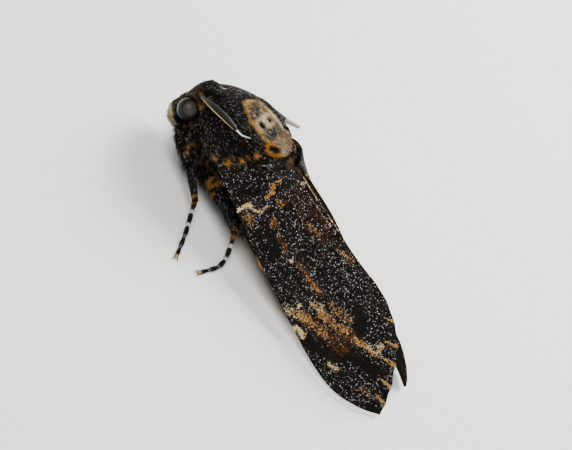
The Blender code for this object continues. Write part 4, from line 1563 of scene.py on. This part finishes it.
@dataclass
class Leg:
    """One leg below its coxa, numbered from 0: a skin, its coat and its pair of claws."""

    name: str
    index: int
    fur: Material
    horn: Material
    swell: float = 0.17
    voxel: float = 0.13
    rounds: int = 3
    hair: Tufts = field(default_factory=lambda: Tufts(5200, (0.35, 0.62), 0.13, (14, 30)))
    foot_hair: Tufts = field(default_factory=lambda: Tufts(3600, (0.26, 0.42), 0.09, (22, 44)))
    shag: Tufts = field(default_factory=lambda: Tufts(2400, (0.8, 1.7), 0.14, (24, 60), True))
    claw_length: float = 0.8
    claw_radius: float = 0.16
    claw_spread: float = 0.45
    knee_radius: float = 0.95
    skin_light: float = 0.8
    fray: float = 0.05
    coat_depth: float = 0.2
    foot_thinner: float = 0.1
    toe: float = 2.93

    def __post_init__(self) -> None:
        """Names the leg's nodes and its joints."""
        pair, end = self.name.split("_")
        self.nodes = tuple(f"{pair}_{part}_{end}" for part in ("femur", "tibia", "tarsus"))
        self.joints = np.array(LEGS[self.name])
        self.tarsus = Curve(self.joints[3:])

    def along(self, points: Array) -> tuple[Array, Array]:
        """How far down the leg each place is, and the way down there.

        Args:
            points: places on the leg.

        Returns:
            0 to 1 on the femur, 1 to 2 on the tibia and 2 to 3 on the foot, and one way for each.
        """
        shares = np.linspace(0.0, 1.0, 41)
        foot = self.tarsus.at(shares)
        line = np.concatenate([self.joints[1:3], self.joints[3:4], foot[1:]])
        marks = np.concatenate([[0.0, 1.0, 2.0], 2.0 + shares[1:]])
        best = np.full(len(points), 1e9)
        place = np.zeros(len(points))
        way = np.zeros_like(points)
        for i in range(len(line) - 1):
            start, span = line[i], line[i + 1] - line[i]
            t = np.clip((points - start) @ span / (span @ span), 0.0, 1.0)
            gone = np.linalg.norm(points - start - t[:, None] * span, axis=1)
            near = gone < best
            best[near] = gone[near]
            place[near] = marks[i] + t[near] * (marks[i + 1] - marks[i])
            way[near] = span / np.linalg.norm(span)
        return place, way

    def colours(self, points: Array, place: Array) -> Array:
        """Black, with ochre on the femur and at the tibia's end, and white rings on the foot.

        Args:
            points: places on the leg.
            place: how far down the leg each one is.

        Returns:
            One colour for each place.
        """
        rough = ripple(points, 1.8, 41)
        tawny, start = (0.6, 0.52) if self.name.startswith("mid") else (0.45, 0.64)
        femur = fall(place, 1.1, 0.2) * rise(place, 0.25, 0.2)
        ankle = fall(np.abs(place - 1.97), 0.16, 0.08)
        foot = (place - 2.0) * 5.0
        ring = rise(foot - np.floor(foot), 0.68, 0.08) * (place > 2.05) * (place < self.toe)
        clear = np.where(foot < 2.0, 0.9, 0.22)
        return Paint(plain(Shade.BLACK, len(points))).lay(
            (Shade.SOOT, rough),
            (Shade.OCHRE, tawny * femur * rise(rough, start, 0.1)),
            (Shade.OCHRE, 0.6 * ankle * rise(rough, 0.42, 0.15)),
            (Shade.WHITE, clear * ring * (0.6 + 0.4 * rough)),
            (Shade.CREAM, 0.6 * rise(place, self.toe, 0.03)),
        ).colours

    def depth(self, points: Array) -> Array:
        """The coat's depth: less on the foot."""
        place, _ = self.along(points)
        return self.swell + self.coat_depth - self.foot_thinner * rise(place, 1.9, 0.1)

    def build(self, frame: dict[str, Any]) -> None:
        """Makes the leg's pieces.

        Args:
            frame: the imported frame.
        """
        solids = [frame["nodes"][name] for name in self.nodes]
        knee = (self.joints[1], self.knee_radius)
        skin = remeshed("skin_" + self.name, solids, [knee], self.swell, self.voxel, self.rounds)
        shrink(skin, self.depth)
        points, triangles = mesh_arrays(skin.data)
        place, _ = self.along(points)
        dress_skin(skin, self.skin_light * self.colours(points, place), self.fur)
        keep_piece(skin, "leg", *self.nodes)
        coat = Coat(points, triangles, point_normals(skin.data), SEED + 10 + self.index)
        coats = (
            ("coat", self.hair, 0.05, 2.05), ("foot", self.foot_hair, 2.0, 2.97),
            ("shag", self.shag, 0.0, 1.1),
        )
        for label, kind, low, high in coats:
            def here(middles: Array, low: float = low, high: float = high) -> Array:
                """1 on the stretch of leg that this hair covers."""
                at, _ = self.along(middles)
                return ((at >= low) & (at <= high)).astype(float)

            roots, out = coat.roots(kind.count, here)
            at, way = self.along(roots)
            colour = self.colours(roots + self.fray * coat.draw.normal(0, 1, roots.shape), at)
            coat.dye(colour, 0.09, Shade.WHITE, 0.3)
            coat.vary(colour, 0.5, 1.3)
            tufts = coat.grow(kind, roots, out, way, np.ones(len(roots)))
            around = (np.arctan2(out[:, 1], out[:, 2]) / (2 * math.pi) + 0.5) * 0.14
            unwrap = np.stack([0.01 + self.index / 6 + around, 0.02 + 0.95 * at / 3.0], 1)
            keep_piece(coat_piece(f"{label}_{self.name}", tufts, colour, unwrap, kind, self.fur), "leg")
        self.build_claws()

    def build_claws(self) -> None:
        """Makes the two hooked claws."""
        up = np.array((0.0, 0.0, 1.0))
        last = self.joints[-1]
        ahead = unit(last - self.joints[-2])
        aside = unit(np.cross(ahead, up))
        points, faces, start = [], [], 0
        for turn in (1, -1):
            out = unit(ahead + aside * self.claw_spread * turn)
            root = last + aside * self.claw_radius * 1.5 * turn
            arch = [
                root - ahead * 0.3 + up * 0.05, root + out * self.claw_length * 0.5 + up * 0.16,
                root + out * self.claw_length - up * 0.1,
            ]
            made = tube_mesh(Curve(arch), 14, 10, lambda s: self.claw_radius * (1.1 - 0.95 * s))
            points.append(made[0])
            faces.append(made[1] + start)
            start += len(made[0])
        both = raised(np.concatenate(points), CLAW_CLEARANCE)
        keep_piece(make_piece("claws_" + self.name, both, np.concatenate(faces), self.horn), "leg")


def tube_mesh(
    path: Curve, steps: int, sides: int, radius: Callable[[Array], Array],
    ridge: Callable[[Array, Array], Array] | None = None,
) -> tuple[Array, Array]:
    """The points and triangles of a closed rod.

    Args:
        path: the line that it follows.
        steps: rings along it.
        sides: points in a ring.
        radius: its radius by the share of its length.
        ridge: what the radius is multiplied by, by share and angle.

    Returns:
        The points, ring by ring, then the middles of the two ends, and the triangles.
    """
    shares = np.linspace(0.0, 1.0, steps)
    centre = path.at(shares)[:, :3]
    heading = unit(np.gradient(centre, axis=0))
    side = unit(np.cross(heading, (0.0, 0.0, 1.0)))
    top = np.cross(side, heading)
    angles = np.linspace(0.0, 2 * math.pi, sides, endpoint=False)
    size = np.broadcast_to(radius(shares), shares.shape)[:, None] * np.ones(sides)
    if ridge is not None:
        size = size * ridge(shares[:, None] * np.ones(sides), angles[None] * np.ones((steps, 1)))
    rings = (
        centre[:, None]
        + side[:, None] * (np.cos(angles) * size)[..., None]
        + top[:, None] * (np.sin(angles) * size)[..., None]
    )
    points = np.concatenate([rings.reshape(-1, 3), centre[:1], centre[-1:]])
    faces = []
    for i in range(steps - 1):
        for k in range(sides):
            a, b = i * sides + k, i * sides + (k + 1) % sides
            faces += [(a, b, b + sides), (a, b + sides, a + sides)]
    first, last = steps * sides, steps * sides + 1
    for k in range(sides):
        following = (k + 1) % sides
        faces.append((first, following, k))
        faces.append((last, (steps - 1) * sides + k, (steps - 1) * sides + following))
    return points, np.array(faces)


@dataclass
class WingPlan:
    """The forewing's surface, by a from root (0) to margin (1) and b from front (0) to inner edge (1)."""

    costa: Curve = field(default_factory=lambda: Curve(WING_COSTA))
    inner: Curve = field(default_factory=lambda: Curve(WING_INNER))
    root: Curve = field(default_factory=lambda: Curve(WING_ROOT))
    termen: Curve = field(default_factory=lambda: Curve(WING_TERMEN))

    def point(self, a: Array, b: Array) -> Array:
        """The left wing's middle surface.

        Args:
            a: 0 at the root to 1 at the margin.
            b: 0 at the front to 1 at the inner edge.

        Returns:
            One place for each pair of a and b.
        """
        a, b = np.asarray(a, float).ravel(), np.asarray(b, float).ravel()
        across = b[:, None]
        first = (1 - across) * np.array(WING_COSTA[0]) + across * np.array(WING_INNER[0])
        last = (1 - across) * np.array(WING_COSTA[-1]) + across * np.array(WING_INNER[-1])
        flat = (1 - across) * self.costa.at(a) + across * self.inner.at(a)
        bow = (WING_BOW * 4 * b * (1 - b) * 4 * a * (1 - a) ** 2)[:, None] * np.array(WING_BOW_WAY)
        root_bend = (self.root.at(b) - first) * ((1 - np.minimum(a, 1.0)) ** 6)[:, None]
        termen_bend = (self.termen.at(b) - last) * (np.maximum(a, 0.0) ** 3)[:, None]
        return flat + root_bend + termen_bend + bow

    def tucked(self, points: Array) -> Array:
        """The right wing's shape, drawn on the left: its tail lies closer in and lower.

        Args:
            points: places on the left wing.

        Returns:
            The same places, tucked.
        """
        tuck = fall(RIGHT_TUCK_FROM, points[:, 0], RIGHT_TUCK_TO - RIGHT_TUCK_FROM)
        out = points.copy()
        out[:, 1] = GAP + (points[:, 1] - GAP) * (1 - RIGHT_TUCK[0] * tuck)
        out[:, 2] = WING_CLEARANCE + (points[:, 2] - WING_CLEARANCE) * (1 - RIGHT_TUCK[1] * tuck)
        return out


class Mark(Enum):
    """The kinds of mark on the forewing."""

    CREAM = "cream"
    OCHRE = "ochre"
    RUST = "rust"
    BLACK = "black"


@dataclass(frozen=True)
class Stroke:
    """A mark drawn along a line on the wing's chart.

    The chart's first number is the distance behind a plane in front of the head, and the second is
    the height seen at a slant from the side.
    """

    line: tuple[tuple[float, float], ...]
    half_width: float
    strength: float = 1.0
    tapered: bool = False


# The forewing's marks, by kind; the last three cream lines are a painted highlight along the inner margin.
STROKES = {
    Mark.CREAM: (
        Stroke(((56.9, 0.9), (56.8, 1.5), (57.0, 2.6), (57.3, 3.3), (58.0, 3.3)), 0.31, 0.78),
        Stroke(((58.0, 3.3), (58.9, 3.3), (59.6, 4.0), (59.5, 5.4)), 0.28, 0.74),
        Stroke(((69.7, 2.3),), 0.34),
        Stroke(((60.7, 12.8),), 0.4, 0.8),
        Stroke(((76.7, -1.8),), 0.46, 0.9),
        Stroke(((75.9, -3.8), (77.8, -3.3)), 0.8, 0.4),
        Stroke(((79.2, -4.8), (80.6, -4.6), (81.2, -4.8)), 0.52, 0.8),
        Stroke(((90.4, 2.8), (92.2, 3.4)), 0.42, 0.6),
        Stroke(((91.8, 4.3),), 0.75, 0.6),
        Stroke(((78.0, 0.3), (79.3, 0.8)), 0.65, 0.42),
        Stroke(((88.0, -4.4), (89.5, -4.0)), 0.42, 0.6),
        # A painted highlight: thin cream lines along the inner margin, where the edge is lit from behind.
        Stroke(((59.2, 13.75), (61.6, 13.3), (63.9, 12.95)), 0.09, 0.7),
        Stroke(((63.9, 12.95), (67.4, 12.55), (70.5, 12.25), (73.6, 12.0), (77.0, 11.9)), 0.07, 0.55),
        Stroke(((62.5, 12.3), (66.0, 11.9), (70.8, 11.6)), 0.07, 0.5),
    ),
    Mark.OCHRE: (
        Stroke(((58.3, 6.3), (58.3, 7.6), (57.2, 8.7), (57.5, 9.8)), 0.36, 0.72),
        Stroke(((60.2, 7.4), (60.9, 7.5)), 0.45, 0.5),
        Stroke(((59.1, 1.7),), 1.0, 0.32),
        Stroke(((62.4, 4.4),), 0.55, 0.35),
        Stroke(((73.8, 2.5), (76.7, 2.5)), 0.28, 0.6),
        Stroke(((66.6, 8.9), (69.4, 9.1)), 0.25, 0.4),
        Stroke(((74.2, 10.0), (75.9, 10.4)), 0.24, 0.7),
        Stroke(((78.2, -2.7), (79.2, -2.3)), 0.8, 0.7),
        Stroke(((80.6, -2.2), (83.6, -1.7)), 0.6, 0.48),
        Stroke(((80.4, 0.2), (81.6, 0.4)), 0.7, 0.75),
        Stroke(((83.0, 0.9), (85.5, 1.4)), 0.75, 0.5),
        Stroke(((87.6, 1.9), (90.2, 2.5), (92.0, 2.8)), 0.46, 0.75),
        Stroke(((80.1, 2.8),), 0.5, 0.5),
        Stroke(((81.7, 2.7), (84.4, 3.2)), 0.85, 0.36),
        Stroke(((95.1, -3.0), (96.6, -2.7)), 0.42, 0.3),
        Stroke(((80.6, 11.2), (82.4, 11.9)), 0.26, 1.0, True),
        Stroke(((88.4, 8.5), (90.7, 9.5)), 0.22, 1.0, True),
        Stroke(((91.4, 5.7), (94.1, 7.0)), 0.26, 1.0, True),
        Stroke(((92.8, 3.4), (96.6, 4.4)), 0.34, 1.0, True),
        Stroke(((95.6, 0.6), (98.8, 1.4)), 0.34, 1.0, True),
        Stroke(((97.4, -1.7), (100.5, -1.5)), 0.34, 1.0, True),
    ),
    Mark.RUST: (
        Stroke(((59.0, 1.6),), 1.1, 0.5),
        Stroke(((62.4, 4.3),), 0.85, 0.9),
        Stroke(((65.0, 3.4), (66.0, 3.2)), 0.4, 0.7),
        Stroke(((66.9, 3.3), (67.8, 2.4)), 0.5, 0.85),
        Stroke(((70.9, 2.9), (74.5, 2.6), (77.6, 2.6)), 0.45, 0.9),
        Stroke(((61.5, 9.8), (66.0, 9.8), (69.5, 9.6)), 1.8, 0.22),
        Stroke(((64.0, 11.2), (69.0, 10.8)), 0.7, 0.3),
        Stroke(((67.2, 8.8), (69.6, 9.2)), 0.42, 0.85),
        Stroke(((73.2, 9.8), (76.8, 10.5)), 0.42, 0.95, True),
        Stroke(((78.8, -2.4), (82.0, -1.5), (84.6, -1.2), (87.4, -0.9)), 1.05, 0.62),
        Stroke(((81.0, 0.4), (84.5, 1.1), (87.8, 1.7)), 1.1, 0.66),
    ),
    Mark.BLACK: (
        Stroke(((54.5, 4.5), (55.8, 6.2)), 1.0, 0.6),
        Stroke(((84.0, 5.6), (86.8, 3.8), (87.3, 3.4)), 1.1, 1.0),
        Stroke(((63.0, 1.5), (66.5, 1.0)), 1.4, 0.7),
        Stroke(((82.6, -4.9), (86.0, -3.2), (88.5, -1.6)), 1.2, 0.95),
        Stroke(((88.0, -0.3), (91.0, 0.2), (95.0, 0.9)), 1.1, 0.9),
        Stroke(((99.5, -4.5), (101.5, -4.0)), 1.4, 0.9),
    ),
}


@dataclass
class WingPattern:
    """The strokes of the forewing, and how they are laid on it."""

    slant: float = 32.0
    chart_start: float = 67.3
    strokes: dict[Mark, tuple[Stroke, ...]] = field(default_factory=lambda: STROKES)
    # A dark line that runs between the two long lobes.
    parting: tuple[tuple[float, float], ...] = ((78.6, -1.3), (81.5, -0.5), (84.0, -0.1), (86.0, 0.3))

    def chart(self, points: Array) -> Array:
        """Lays the wing flat on the chart.

        Args:
            points: places on the left wing.

        Returns:
            The chart's two numbers and 0 for each place.
        """
        slant = math.radians(self.slant)
        back = self.chart_start - points[:, 0]
        high = points[:, 2] * math.cos(slant) - points[:, 1] * math.sin(slant)
        return np.stack([back, high, np.zeros(len(points))], axis=1)

    def masks(self, chart: Array) -> dict[str, Array]:
        """How strong each kind of mark is.

        Args:
            chart: places on the chart.

        Returns:
            One number from 0 to 1 for each place, by the mark's name.
        """
        flat = chart[:, :2]
        wobble = 0.7 * (ripple(chart, 1.6, 51) - 0.5) + 0.6 * (ripple(chart, 3.4, 53) - 0.5)
        out = {kind.value: np.zeros(len(chart)) for kind in Mark}
        for kind, strokes in self.strokes.items():
            for stroke in strokes:
                gone, run = self.away(flat, np.array(stroke.line))
                width = stroke.half_width * (0.35 + 0.9 * run if stroke.tapered else 1.0)
                value = stroke.strength * fall(wobble, 1.5 - gone / width, 0.9)
                out[kind.value] = np.maximum(out[kind.value], value)
        gone, _ = self.away(flat, np.array(self.parting))
        clear = 1.0 - 0.85 * fall(gone, 0.32, 0.2)
        for kind in (Mark.CREAM, Mark.OCHRE, Mark.RUST):
            out[kind.value] *= clear
        return out

    def away(self, flat: Array, line: Array) -> tuple[Array, Array]:
        """How far each place is from a line on the chart, and how far along the line it is.

        Args:
            flat: places on the chart.
            line: the line's points, or a single point.

        Returns:
            The distance in millimetres, and 0 to 1 from the line's start to its end.
        """
        gone, run = np.linalg.norm(flat - line[0], axis=1), np.zeros(len(flat))
        count = max(len(line) - 1, 1)
        for i, (start, end) in enumerate(zip(line, line[1:])):
            span = end - start
            t = np.clip((flat - start) @ span / (span @ span), 0.0, 1.0)
            here = np.linalg.norm(flat - start - t[:, None] * span, axis=1)
            near = here < gone
            gone[near], run[near] = here[near], (i + t[near]) / count
        return gone, run


@dataclass
class Forewing:
    """One forewing: a thin scaled membrane with raised veins, a thick front edge and a scalloped margin."""

    side: int
    plan: WingPlan
    pattern: WingPattern
    steps_along: int = 300
    steps_across: int = 130
    rise: float = 0.2
    membrane: float = 0.13
    front_edge: float = 0.5
    front_share: float = 0.045
    front_rise: float = 0.05
    vein_height: float = 0.1
    vein_width: float = 0.14
    pleat: float = 0.05
    pleat_share: float = 0.145
    scallop: float = 0.006
    scallop_share: float = 0.07

    def build(self, finish: Material) -> None:
        """Makes the wing and lays its pattern on it.

        Args:
            finish: the wing's finish.
        """
        a, b = np.meshgrid(
            np.linspace(0.0, 1.0, self.steps_along), np.linspace(0.0, 1.0, self.steps_across), indexing="ij"
        )
        veins = np.array([v[0] for v in WING_VEINS])
        nearest = np.min(np.abs(b[..., None] - veins), axis=-1)
        a = a * (1.0 - self.scallop * np.clip(nearest / self.scallop_share, 0, 1) * smooth(a))
        untucked = self.plan.point(a, b)
        middle = untucked if self.side > 0 else self.plan.tucked(untucked)
        grid = middle.reshape(self.steps_along, self.steps_across, 3)
        along, across = np.gradient(grid, axis=0), np.gradient(grid, axis=1)
        out = unit(np.cross(across, along))
        out = np.where(out[..., 2:3].mean() > 0, out, -out)
        relief = self.relief(a, b, grid)
        front = smooth(1.0 - b / self.front_share)
        thick = self.membrane + (self.front_edge - self.membrane) * front
        high = self.rise + self.front_rise * front + relief
        top = grid + out * high[..., None]
        bottom = grid + out * (high - thick)[..., None]
        points = np.concatenate([top.reshape(-1, 3), bottom.reshape(-1, 3)])
        points[:, 1] *= self.side
        chart = self.pattern.chart(untucked)
        masks = self.pattern.masks(chart)
        values = {key: np.concatenate([rows, rows]) for key, rows in {"chart": chart, **masks}.items()}
        count = self.steps_along * self.steps_across
        inside = np.zeros((self.steps_along, self.steps_across))
        inside[3:-3, 2:-2] = 1.0
        values["below"] = np.concatenate([np.zeros(count), inside.ravel()])
        values["span"] = np.concatenate([a.ravel(), a.ravel()])
        end = "left" if self.side > 0 else "right"
        piece = make_piece("wing_" + end, points, self.faces(), finish, values)
        keep_piece(piece, "forewing", "forewing_" + end)

    def relief(self, a: Array, b: Array, grid: Array) -> Array:
        """The veins, and the soft pleats between them.

        Args:
            a: from root to margin.
            b: from front to inner edge.
            grid: the wing's middle surface there.

        Returns:
            The height at each place.
        """
        width = np.linalg.norm(grid[:, -1] - grid[:, 0], axis=-1)[:, None]
        height = np.zeros_like(a)
        for at, start in WING_VEINS:
            gone = (b - at) * width / self.vein_width
            strength = smooth((a - start + 0.03) / 0.06) * (1.0 - 0.5 * a)
            height += self.vein_height * strength * np.exp(-(gone**2))
        spread = rise(a, 0.35, 0.3)
        return height - self.pleat * spread * np.abs(np.sin(math.pi * b / self.pleat_share))

    def faces(self) -> Array:
        """Covers the top, the bottom and the rim.

        Returns:
            The four-cornered faces.
        """
        rows, columns = self.steps_along, self.steps_across
        count = rows * columns
        index = np.arange(count).reshape(rows, columns)
        corners = [index[:-1, :-1], index[:-1, 1:], index[1:, 1:], index[1:, :-1]]
        quads = np.stack(corners, axis=-1).reshape(-1, 4)
        if self.side < 0:
            quads = quads[:, ::-1]
        rim = np.concatenate([index[0, :-1], index[:-1, -1], index[-1, :0:-1], index[:0:-1, 0]])
        following = np.roll(rim, -1)
        wall = np.stack([rim, rim + count, following + count, following], axis=-1)
        if self.side < 0:
            wall = wall[:, ::-1]
        return np.concatenate([quads, quads[:, ::-1] + count, wall])


@dataclass
class Eye:
    """One great eye."""

    side: int
    rings: int = 56
    middle_way: Triple = (-0.18, 0.7, 0.69)
    # The way that the painted reflection's band faces, on the left eye.
    reflection_way: Triple = (0.95, 0.2, -0.3)

    def build(self, finish: Material) -> None:
        """Makes the eye, with values for its rim and for the band on its front where a reflection of the sky
        is painted.

        Args:
            finish: the eye's finish.
        """
        centre = np.array(EYE_CENTRE) * [1, self.side, 1]
        points, faces = ball_mesh(centre, EYE_RADIUS, self.rings)
        out = unit(points - centre)
        way, reflection_ahead = (unit(np.array(v) * (1, self.side, 1)) for v in (self.middle_way, self.reflection_way))
        turn = np.degrees(np.arccos(np.clip(out @ way, -1, 1)))
        # Painted reflection of the sky: a bluish band on the front of the eye.
        sheen = rise(out @ reflection_ahead, 0.55, 0.25) * fall(turn, 104.0, 14.0) * rise(turn, 64.0, 12.0)
        values = {"rim": np.clip(turn / 95.0, 0, 1), "sheen": 0.9 * sheen}
        end = "left" if self.side > 0 else "right"
        keep_piece(make_piece("globe_" + end, points, faces, finish, values), "eye", "eye_" + end)


def off_angle(angles: Array, middle: float) -> Array:
    """How far angles are from a middle given in degrees, in radians, the short way round."""
    return np.abs((angles - math.radians(middle) + math.pi) % (2 * math.pi) - math.pi)


@dataclass
class Antenna:
    """One thick antenna of many short joints, with a pale edge below, a painted glint along its upper side
    and a hooked tip, which on the right one is greyed by painted shade.
    """

    end: str
    steps: int = 200
    sides: int = 24
    joints: int = 60
    shaft: Colour = (0.006, 0.0055, 0.005)
    back: Colour = (0.02, 0.0185, 0.0165)
    brown: Colour = (0.075, 0.057, 0.032)
    # The colour of the painted glint, a thin highlight along the upper side.
    painted_glint: Colour = (0.1, 0.11, 0.14)
    # The right antenna's white tip, greyed by painted shade.
    shaded_far_tip: Colour = (0.4, 0.34, 0.32)

    def build(self, fur: Material) -> None:
        """Makes the antenna and its colours.

        Args:
            fur: the finish of fine scales.
        """
        path = Curve(ANTENNA_PATHS[self.end])

        def joint(shares: Array, angles: Array) -> Array:
            """The grooves between the joints, and the flat underside."""
            ring = np.abs(np.sin(math.pi * self.joints * shares))
            return 0.93 + 0.07 * ring**0.5 - 0.05 * rise(-np.sin(angles), 0.3, 0.5)

        points, faces = tube_mesh(path, self.steps, self.sides, self.radius, joint)
        piece = make_piece("feeler_" + self.end, points, faces, fur, {"tint": self.colours()})
        keep_piece(piece, "antenna", "antenna_" + self.end)

    def radius(self, shares: Array) -> Array:
        """The antenna's radius: the left one's hook is thin, and the right one's club runs on.

        Args:
            shares: shares of its length.

        Returns:
            One radius for each.
        """
        widths = Curve([(i, r, 0.0) for i, r in enumerate(ANTENNA_RADII)])
        if self.end == "left":
            return widths.at(shares)[:, 1] * (1.0 - 0.55 * rise(shares, 0.74, 0.08))
        return widths.at(shares * (1.0 - 0.14 * rise(shares, 0.5, 0.2)))[:, 1]

    def colours(self) -> Array:
        """The colours of the antenna's points, ring by ring.

        Returns:
            One colour for each point.
        """
        left = self.end == "left"
        edge_at, painted_glint_at, tip_at = (322.0, 112.0, 0.79) if left else (218.0, 68.0, 0.83)
        shares = np.concatenate([np.repeat(np.linspace(0, 1, self.steps), self.sides), [0.0, 1.0]])
        around = np.linspace(0, 2 * math.pi, self.sides, endpoint=False)
        angles = np.concatenate([np.tile(around, self.steps), [0, 0]])
        upper = rise(np.sin(angles), 0.15, 0.5)
        # Painted glint: a thin bluish highlight along the upper side, from a quarter of the way out.
        painted_glint = fall(off_angle(angles, painted_glint_at), 0.3, 0.15) * rise(shares, 0.25, 0.3)
        edge = fall(off_angle(angles, edge_at), 0.28, 0.14) * rise(shares, 0.03, 0.03)
        edge = edge * fall(shares, 0.8, 0.05)
        paint = Paint(plain(self.shaft, len(shares))).lay(
            (self.back, 0.8 * upper),
            (self.brown, 0.75 * (fall(shares, 0.4, 0.3) * (1.0 - 0.5 * upper))),
            (self.painted_glint, 0.8 * painted_glint),
            (Shade.CREAM, edge),
            # The left tip stays white; the right one is laid pinkish grey as painted shade.
            (Shade.WHITE if left else self.shaded_far_tip, rise(shares, tip_at, 0.02)),
        )
        ring = np.abs(np.sin(math.pi * self.joints * shares))
        return paint.colours * (0.4 + 0.6 * ring)[:, None]


@dataclass(frozen=True)
class Lamp:
    """A soft square light: its place and its side in metres, its power in watts and its colour."""

    name: str
    place: Triple
    size: float
    power: float
    colour: Colour


@dataclass
class Studio:
    """The floor, the soft lights and the camera at the photo's angle."""

    elevation: float = 32.0
    roll: float = 49.5
    middle: Triple = (3.07, 0.0, 6.83)
    distance: float = 540.0
    frame_width: float = 102.96
    sensor: float = 36.0
    floor_reach: float = 3000.0
    room_colour: Colour = (0.93, 0.95, 1.0)
    room_light: float = 0.32
    lamps: tuple[Lamp, ...] = (
        Lamp("key", (0.16, 0.30, 0.46), 0.34, 4.6, (1.0, 0.98, 0.95)),
        Lamp("rim", (-0.05, -0.42, 0.34), 0.30, 7.5, (1.0, 1.0, 1.0)),
        Lamp("fill", (-0.35, 0.35, 0.22), 0.40, 1.4, (0.94, 0.97, 1.0)),
    )

    def build(self) -> None:
        """Makes the floor, the camera, the lights and the soft room."""
        self.make_floor()
        self.make_camera()
        for lamp in self.lamps:
            self.make_light(lamp)
        room = bpy.data.worlds.new("soft_room")
        room.use_nodes = True
        glow = room.node_tree.nodes["Background"]
        glow.inputs["Color"].default_value = (*self.room_colour, 1.0)
        glow.inputs["Strength"].default_value = self.room_light
        bpy.context.scene.world = room

    def make_camera(self) -> None:
        """Makes the camera at the photo's angle, turned with the moth."""
        slant = math.radians(self.elevation)
        back = Vector((0, math.cos(slant), math.sin(slant)))
        level_up = Vector((0, -math.sin(slant), math.cos(slant)))
        forward = Vector((-1, 0, 0))
        turn = math.radians(self.roll)
        right = forward * math.cos(turn) + level_up * math.sin(turn)
        up = forward * -math.sin(turn) + level_up * math.cos(turn)
        lens = bpy.data.cameras.new("camera")
        lens.sensor_width = self.sensor
        lens.sensor_fit = "HORIZONTAL"
        lens.lens = self.sensor * self.distance / self.frame_width
        lens.clip_start, lens.clip_end = 0.01, 20.0
        camera = bpy.data.objects.new("camera", lens)
        turned = Matrix((right, up, back)).transposed().to_4x4()
        turned.translation = Vector(self.middle) * MM + back * self.distance * MM
        camera.matrix_world = turned
        bpy.context.scene.collection.objects.link(camera)
        bpy.context.scene.camera = camera

    def make_floor(self) -> None:
        """The wide pale floor at z = 0."""
        corners = np.array([(-1, -1, 0), (1, -1, 0), (1, 1, 0), (-1, 1, 0)]) * self.floor_reach
        floor = make_piece("floor", corners, np.array([(0, 1, 2, 3)]), FloorFinish("floor").make())

    def make_light(self, lamp: Lamp) -> None:
        """Makes a light that faces the moth.

        Args:
            lamp: its sizes and its colour.
        """
        glow = bpy.data.lights.new(lamp.name, "AREA")
        glow.size = lamp.size
        glow.energy = lamp.power
        glow.color = lamp.colour
        light = bpy.data.objects.new(lamp.name, glow)
        light.location = lamp.place
        aim = Vector(self.middle) * MM - Vector(lamp.place)
        light.rotation_euler = aim.to_track_quat("-Z", "Y").to_euler()
        bpy.context.scene.collection.objects.link(light)


def main() -> None:
    """Builds the moth piece by piece, then the studio."""
    logging.basicConfig(level=logging.INFO, format="%(message)s")
    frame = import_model()
    fur = FurFinish("fur").make()
    leg_fur = FurFinish("leg_hair", grain=9.0, relief=0.03).make()
    horn = HornFinish("claw_horn").make()
    Trunk(fur).build(frame)
    for index, name in enumerate(LEGS):
        Leg(name, index, leg_fur, horn).build(frame)
    plan, pattern = WingPlan(), WingPattern()
    scales = WingFinish("forewing_scales").make()
    hind = HindwingFinish("hindwing_scales").make()
    eye = EyeFinish("eye_facets").make()
    shaft = FurFinish("antenna_shaft", roughness=0.5, grain=7.0, relief=0.02, gloss=0.1).make()
    for side, end in ((1, "left"), (-1, "right")):
        Forewing(side, plan, pattern).build(scales)
        frame["nodes"]["hindwing_" + end].data.materials[0] = hind
        Eye(side).build(eye)
        Antenna(end).build(shaft)
    frame["nodes"]["tongue"].data.materials[0] = HornFinish("tongue_horn", (0.05, 0.03, 0.015)).make()
    Studio().build()


if __name__ == "__main__":
    main()
